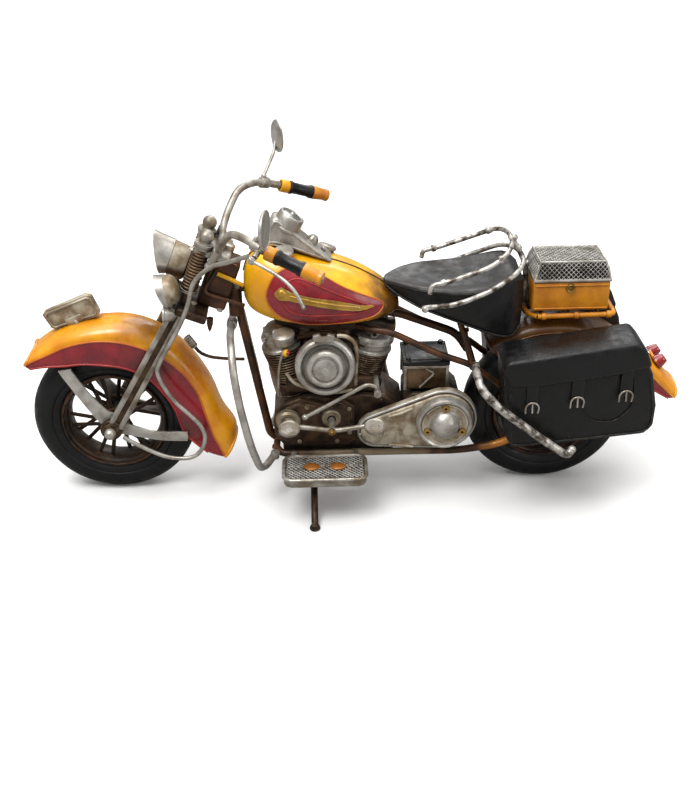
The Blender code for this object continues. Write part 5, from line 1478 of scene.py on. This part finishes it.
# Each station is x, lowest z, highest z and half width.
SEAT_STATIONS = [
    (15.5, 129.7, 132.2, 4), (20, 127.2, 133, 9), (26, 124.8, 133.4, 14.5), (35, 121.4, 133.4, 20),
    (47, 117.6, 133, 24), (60, 113, 133.4, 26), (71, 108.5, 135.2, 26.2), (80, 105.2, 137.6, 24.4),
    (86, 104.6, 138.6, 20.5), (91, 108, 136, 14),
]


def make_seat():
    """A deep black skirt, a dished top set into it, and piping along both of its edges."""
    skirt_rows, top_rows = [], []
    for x, low, high, wide in SEAT_STATIONS:
        tall = high - low
        half = [(wide * 0.6, low + 1.0), (wide * 0.92, low), (wide, low + tall * 0.4),
                (wide * 0.98, low + tall * 0.72), (wide * 0.93, high - 1.4), (wide * 0.7, high - 1.8)]
        skirt_rows.append([(x, -y, z) for y, z in half] + [(x, y, z) for y, z in half[::-1]])
        dish = 2.6 * min(1.0, wide / 24) * (1.0 if x < 78 else 0.45)
        shape = [(0.95, -1.5), (0.965, -0.6), (0.92, 0.1), (0.82, 0.2), (0.6, -dish * 0.45),
                 (0.3, -dish * 0.9)]
        row = [(x, -wide * s, high + drop) for s, drop in shape] + [(x, 0, high - dish)]
        row += [(x, wide * s, high + drop) for s, drop in shape[::-1]]
        row += [(x, wide * 0.5, high - 4 - tall * 0.1), (x, -wide * 0.5, high - 4 - tall * 0.1)]
        top_rows.append(row)
    skirt = loft(smooth_rows(skirt_rows, 44), sharp=50)
    show(skirt, "seat", black)
    top = loft(smooth_rows(top_rows, 44), sharp=60)
    show(top, "seat", seat_grey, "seat_top")
    edges = []
    for side in (-1, 1):
        lower = [(x, side * wide * 0.95, low + 0.2) for x, low, high, wide in SEAT_STATIONS]
        edges.append(tube(smooth_path(lower, 50), 0.6, 0, resolution=2))
        crease = [(x, side * wide * 0.955, high - 1.5) for x, low, high, wide in SEAT_STATIONS]
        edges.append(tube(smooth_path(crease, 50), 0.55, 0, resolution=2))
    show(merge(*edges), "seat", band_black, "seat_piping")


def joint_rings(path, radius, places):
    """Raised collars on a tube at shares of its path."""
    rings = []
    for share in places:
        k = min(int(share * (len(path) - 1)), len(path) - 2)
        start, end = Vector(path[k]), Vector(path[k + 1])
        place = start.lerp(end, share * (len(path) - 1) - k)
        along = (end - start).normalized()
        rings.append(cylinder(place - along * 1.3, place + along * 1.3, radius + 0.55, 24, edge=0.35))
    return rings


def make_seat_rail():
    left = [(38.4, -25.4, 133.2), (39.2, -25.2, 137.6), (48, -25.0, 139.6), (70, -24.8, 147.0),
            (80, -20, 152.6), (84.5, -8, 155)]
    upper = left + [(x, -y, z) for x, y, z in left[::-1]]
    parts = [tube(upper, 1.4, 6, 7), ball((86.6, 0, 154.4), 2.0)]
    for side in (-1, 1):
        lower = [(35.8, side * 28.4, 126.4), (52, side * 28.8, 127.6), (70, side * 28.2, 134.6),
                 (84, side * 23.4, 141.6), (90.6, side * 12, 143.6), (91.6, 0, 144.2)]
        parts.append(tube(lower, 1.4, 7, 6))
        parts.append(ball((35.7, side * 28.4, 125.6), 2.1))
        parts += joint_rings(left if side < 0 else [(x, -y, z) for x, y, z in left], 1.5, (0.34, 0.72))
    post = [(84.4, 0, 155), (89.6, 0, 147.6), (94.5, 0, 137), (94.5, 0, 115.4)]
    parts.append(tube(post, 1.6, 6, 6))
    parts += joint_rings(post, 1.6, (0.3, 0.62, 0.86))
    show(merge(*parts), "seat_rail", streaked)


make_seat()
make_seat_rail()


# ---------------------------------------------------------------- luggage

BOX_FRONT, BOX_REAR = 96.5, 139.0
BOX_HALF = 14.5
BOX_BOTTOM, BOX_TOP = 116.0, 132.8


def make_rack():
    loop = [(100, -15, 113), (143, -15, 113.6), (143, 15, 113.6), (100, 15, 113), (94.5, 9, 113),
            (94.5, -9, 113)]
    parts = [tube(bends(loop + [loop[0]], 4, 5), 1.5, 0)]
    parts += [tube([(x, -15.4, 113), (x, 15.4, 113)], 1.3, 0) for x in (103, 118, 134)]
    parts += [cylinder((x, 0, 113), (x, 0, 109.2), 1.8, 24, edge=0.3) for x in (103, 118)]
    for side in (-1, 1):
        parts += joint_rings([(100, side * 15, 113), (143, side * 15, 113.6)], 1.5, (0.08, 0.5, 0.92))
    show(merge(*parts), "luggage_rack", deep_amber)


def make_box():
    middle = ((BOX_FRONT + BOX_REAR) / 2, 0, (BOX_BOTTOM + BOX_TOP) / 2)
    half = ((BOX_REAR - BOX_FRONT) / 2, BOX_HALF, (BOX_TOP - BOX_BOTTOM) / 2)
    parts = [block(middle, half, 0, 1.1)]
    for side in (-1, 1):
        for z in (BOX_BOTTOM + 1.6, BOX_TOP - 1.6):
            parts.append(tube([(BOX_FRONT + 1, side * (BOX_HALF + 0.1), z),
                               (BOX_REAR - 1, side * (BOX_HALF + 0.1), z)], 0.5, 0))
    show(merge(*parts), "luggage_box", deep_amber)


# Each point of the lid's side is its distance along the skin, its inset and its height.
LID_SIDE = [(0, 0, 134.7), (6.6, 1.5, 141.1), (9.3, 2.8, 143.4), (10.9, 4.2, 144.3)]


def over_lid(share, low, high):
    """Where this share of the way over the lid lies: its coordinate from low to high, and its height."""
    flat = high - low - 2 * LID_SIDE[-1][1]
    along = share * (flat + 2 * LID_SIDE[-1][0])
    back = flat + 2 * LID_SIDE[-1][0] - along
    near = min(along, back)
    inset = line_at([(s, i) for s, i, z in LID_SIDE], near) + max(0.0, near - LID_SIDE[-1][0])
    height = line_at([(s, z) for s, i, z in LID_SIDE], near)
    return (low + inset if along < back else high - inset), height


def make_lid():
    """A dark lid under a diamond mesh, with bright rims, hinge knuckles and the box's latch ring."""
    front, rear, half = BOX_FRONT + 0.4, BOX_REAR, BOX_HALF

    def ring(inset_x, inset_y, z):
        return [(front + inset_x, -half + inset_y, z), (rear - inset_x, -half + inset_y, z),
                (rear - inset_x, half - inset_y, z), (front + inset_x, half - inset_y, z)]

    body = rounded(loft([ring(0.5, 0.5, 133.4), ring(0.5, 0.5, 134.6), ring(2.1, 2.1, 140.6),
                         ring(3.7, 3.5, 143.6)]), 0.5, 2)
    show(body, "luggage_lid", band_black, "luggage_lid_base")

    def mesh_point(u, v):
        x, over_x = over_lid(u, front, rear)
        y, over_y = over_lid(v, -half, half)
        return x, y, min(over_x, over_y)

    mesh = lattice(42, 32, mesh_point, 0.5)
    rims = [tube([Vector(p) for p in ring(0.2, 0.2, 134.0)], 0.95, 0, closed=True),
            tube([Vector(p) for p in ring(3.0, 3.0, 143.8)], 0.7, 0, closed=True)]
    for sx in (0, 1):
        for sy in (0, 1):
            low = ring(0.2, 0.2, 134.2)[sx if sy == 0 else 3 - sx]
            high = ring(3.0, 3.0, 143.8)[sx if sy == 0 else 3 - sx]
            rims.append(tube([low, high], 0.6, 0))
    knuckles = [cylinder((x, half + 1.9, 134.0), (x + 5, half + 1.9, 134.0), 1.3, 24) for x in (103, 131)]
    show(merge(mesh, *rims, *knuckles), "luggage_lid", bright_silver)
    latch = lathe([(1.3, 0), (1.4, 1.4), (2.2, 1.7), (2.6, 0.9), (2.6, 0)], (117.0, -half + 0.3, 129.8),
                  (0, -1, 0), 28, closed=True)
    show(latch, "luggage_box", brass, "luggage_box_latch")


BAG_OUTLINE = [(81.5, 52), (86, 47.6), (113, 50), (137, 52.6), (158, 54.8), (162.6, 60), (162.6, 73),
               (158.5, 92), (151, 108), (147, 110.4), (80, 100.4), (77.2, 96)]
FLAP_EDGE = [(80, 87.5), (96, 87.6), (113, 90), (139, 94), (156.6, 98.6)]
FLAP_OUTLINE = FLAP_EDGE + [(152.4, 108.4), (148, 113.4), (78.6, 103.2), (76, 99)]


def make_bag(side, node):
    """A saddlebag with its flap, seams, pocket line, three straps and three buckles."""

    def place(shape):
        if side < 0:
            return shape
        other = mirrored(shape)
        bpy.data.objects.remove(shape)
        return other

    body = plate(BAG_OUTLINE, -48.6, -23.4, 2.4)
    flap = plate(FLAP_OUTLINE, -51.4, -24.2, 2.2)
    show(place(merge(body, flap)), node, black)
    trim = []
    seam = [(x, -50.7, z) for x, z in [(81, 89), (96, 89.2), (113, 91.6), (139, 95.6), (154.6, 99.6)]]
    trim.append(tube(smooth_path(seam, 30), 0.4, 0, resolution=2))
    hem = [(x, -48.7, z) for x, z in [(80.4, 97), (84, 55), (88, 50.4), (113, 52.4), (137, 55), (156.4, 57.4),
                                      (160.2, 61.6), (160.2, 73), (156.4, 91)]]
    trim.append(tube(smooth_path(hem, 60), 0.45, 0, resolution=2))
    pocket = [(120.8, -48.9, 88), (120.8, -48.9, 76), (126.7, -48.9, 66.2), (134.3, -48.9, 64.2),
              (141.5, -48.9, 65.7), (148.8, -48.9, 75.4), (147.6, -48.9, 91)]
    trim.append(tube(smooth_path(pocket, 40), 0.5, 0, resolution=2))
    show(place(merge(*trim)), node, band_black, node + "_seams")
    straps, buckles = [], []
    for x, z in ((93.4, 75.4), (117.8, 78.4), (144.0, 81.6)):
        straps.append(bar((x - 0.6, -50.2, line_at(FLAP_EDGE, x) + 3), (x, -49.6, z - 1), 6.5, 1.5,
                          (0, 1, 0), 0.5))
        straps.append(bar((x, -49.6, z - 1), (x, -49.2, z - 4), 5.0, 1.2, (0, 1, 0), 0.5))
        arc = [(x + 3.6 * math.cos(math.pi * k / 12), -50.9, z - 0.6 + 3.6 * math.sin(math.pi * k / 12))
               for k in range(13)]
        arc = [(x + 3.4, -50.2, z - 4)] + arc + [(x - 3.4, -50.2, z - 4)]
        buckles.append(tube(arc, 0.5, 0))
        buckles.append(tube([(x, -50.6, z + 2.6), (x + 0.2, -51.0, z - 3.4)], 0.5, 0))
    show(place(merge(*straps)), node, black, node + "_straps")
    show(place(merge(*buckles)), node, silver, node + "_buckles")


def make_guard(side, node):
    """The bar that loops round a saddlebag's front and ends in a ball."""
    path = [(66, side * 22, 87), (63.5, side * 40, 92), (65, side * 53.4, 88), (75, side * 54, 77),
            (100, side * 54, 56.5), (113, side * 53.8, 46.8), (117, side * 50.5, 44.4)]
    parts = [tube(path[:-1] + [(115.4, side * 53.4, 46.2), (117.4, side * 52, 48.2)], 2.3, 7, 7),
             ball((117.4, side * 52, 48.2), 2.4)]
    parts += joint_rings(path, 1.9, (0.42, 0.7))
    show(merge(*parts), node, streaked)


TAIL_AT, TAIL_FACING = 25, 38  # degrees round the rear axle, and degrees up from straight back


def make_tail_light():
    """Two red cones on a small plate on the rear mudguard."""
    facing = math.radians(TAIL_FACING)
    out = Vector((math.cos(facing), 0, math.sin(facing)))
    place = polar(REAR_AXLE, line_at(REAR_CROWN, TAIL_AT), TAIL_AT, 0) + out * 0.5
    show(block(place + out * 0.8, (0.7, 9.5, 3.2), -TAIL_FACING, 0.4), "tail_light", rear_amber)
    lamps = []
    for side in (-1, 1):
        profile = [(0.0, 6.2), (2.4, 6.0), (2.9, 5.5), (3.3, 4.2), (4.1, 1.4), (4.2, 0.6), (0.0, 0.6)]
        lamps.append(lathe(profile, place + Vector((0, side * 6.2, 0)), out, 36))
    show(merge(*lamps), "tail_light", glass_red, "tail_light_lenses")


make_rack()
make_box()
make_lid()
for word, side in SIDES:
    make_bag(side, "saddlebag_" + word)
    make_guard(side, "bag_guard_" + word)
make_tail_light()


# ---------------------------------------------------------------- floor, light and camera

def floor_finish():
    """Pale to the camera, darker to the light that bounces back up under the model."""
    tree = Tree("floor_white")
    seen = tree.add("ShaderNodeLightPath").outputs["Is Camera Ray"]
    tone = tree.mix(tree.ramp(tree.noise(300), 0.3, 0.7), (250, 250, 250), (247, 247, 247))
    tree.put(tree.shader.inputs["Base Color"], tree.mix(seen, (150, 148, 146), tone))
    tree.shader.inputs["Roughness"].default_value = 0.9
    tree.shader.inputs["Specular IOR Level"].default_value = 0.1
    return tree.material


FLOOR_HALF = 40.0  # metres


def make_stage():
    bm = bmesh.new()
    bmesh.ops.create_grid(bm, x_segments=2, y_segments=2, size=FLOOR_HALF)
    floor = mesh_object(bm)
    floor.name = "floor"
    floor.data.materials.append(floor_finish())


def soft_light(name, place, aim, size, power):
    """A round area light; its place, aim and size are in metres and its power in watts."""
    data = bpy.data.lights.new(name, "AREA")
    data.shape = "DISK"
    data.size = size
    data.energy = power
    made = bpy.data.objects.new(name, data)
    SHEET.objects.link(made)
    made.location = place
    made.rotation_euler = (Vector(aim) - Vector(place)).to_track_quat("-Z", "Y").to_euler()


CAMERA_PLACE = Vector((-21.05, -541.39, 368.15))
CAMERA_RIGHT = Vector((0.9997, -0.0191, -0.0168))
CAMERA_UP = Vector((0.0241, 0.5018, 0.8647))
CAMERA_AHEAD = Vector((0.0081, 0.8648, -0.5021))
CAMERA_LENS, CAMERA_SHIFT = 47.18, 0.0240


def make_camera():
    """The photograph's view: from the left side, about 30 degrees above the ground."""
    data = bpy.data.cameras.new("camera")
    made = bpy.data.objects.new("camera", data)
    SHEET.objects.link(made)
    turn = Matrix((CAMERA_RIGHT, CAMERA_UP, -CAMERA_AHEAD)).transposed().to_4x4()
    made.matrix_world = Matrix.Translation((CAMERA_PLACE + Vector((CENTRE, 0, 0))) * MM) @ turn
    data.sensor_width = 36
    data.sensor_fit = "AUTO"
    data.lens = CAMERA_LENS
    data.shift_x = CAMERA_SHIFT
    data.clip_start = 0.01
    bpy.context.scene.camera = made


def make_sky():
    """A broad, weak sun overhead for even light."""
    data = bpy.data.lights.new("sky", "SUN")
    data.energy = 1.5
    data.angle = math.radians(50)
    SHEET.objects.link(bpy.data.objects.new("sky", data))


def make_world():
    """A studio that is bright overhead and dim towards the horizon, and plain white to the camera."""
    world = bpy.data.worlds.new("studio")
    bpy.context.scene.world = world
    world.use_nodes = True
    nodes, links = world.node_tree.nodes, world.node_tree.links
    place = nodes.new("ShaderNodeTexCoord")
    split = nodes.new("ShaderNodeSeparateXYZ")
    rise = nodes.new("ShaderNodeMapRange")
    rise.inputs["To Min"].default_value = 0.12
    rise.inputs["To Max"].default_value = 0.95
    links.new(place.outputs["Generated"], split.inputs[0])
    links.new(split.outputs["Z"], rise.inputs[0])
    seen = nodes.new("ShaderNodeLightPath")
    plain = nodes.new("ShaderNodeMix")
    plain.inputs["B"].default_value = 1.0
    links.new(seen.outputs["Is Camera Ray"], plain.inputs["Factor"])
    links.new(rise.outputs[0], plain.inputs["A"])
    links.new(plain.outputs["Result"], nodes["Background"].inputs["Strength"])
    nodes["Background"].inputs["Color"].default_value = (1, 0.99, 0.97, 1)


make_stage()
make_camera()
soft_light("key", (-0.40, -0.50, 1.15), (0, 0, 0.08), 0.55, 8.0)
soft_light("fill", (0.85, -0.60, 0.50), (0, 0, 0.08), 0.6, 2.2)
soft_light("back", (0.15, 0.85, 0.85), (0, 0, 0.1), 0.7, 4.0)
make_sky()
make_world()
bpy.context.scene.view_settings.view_transform = "Standard"
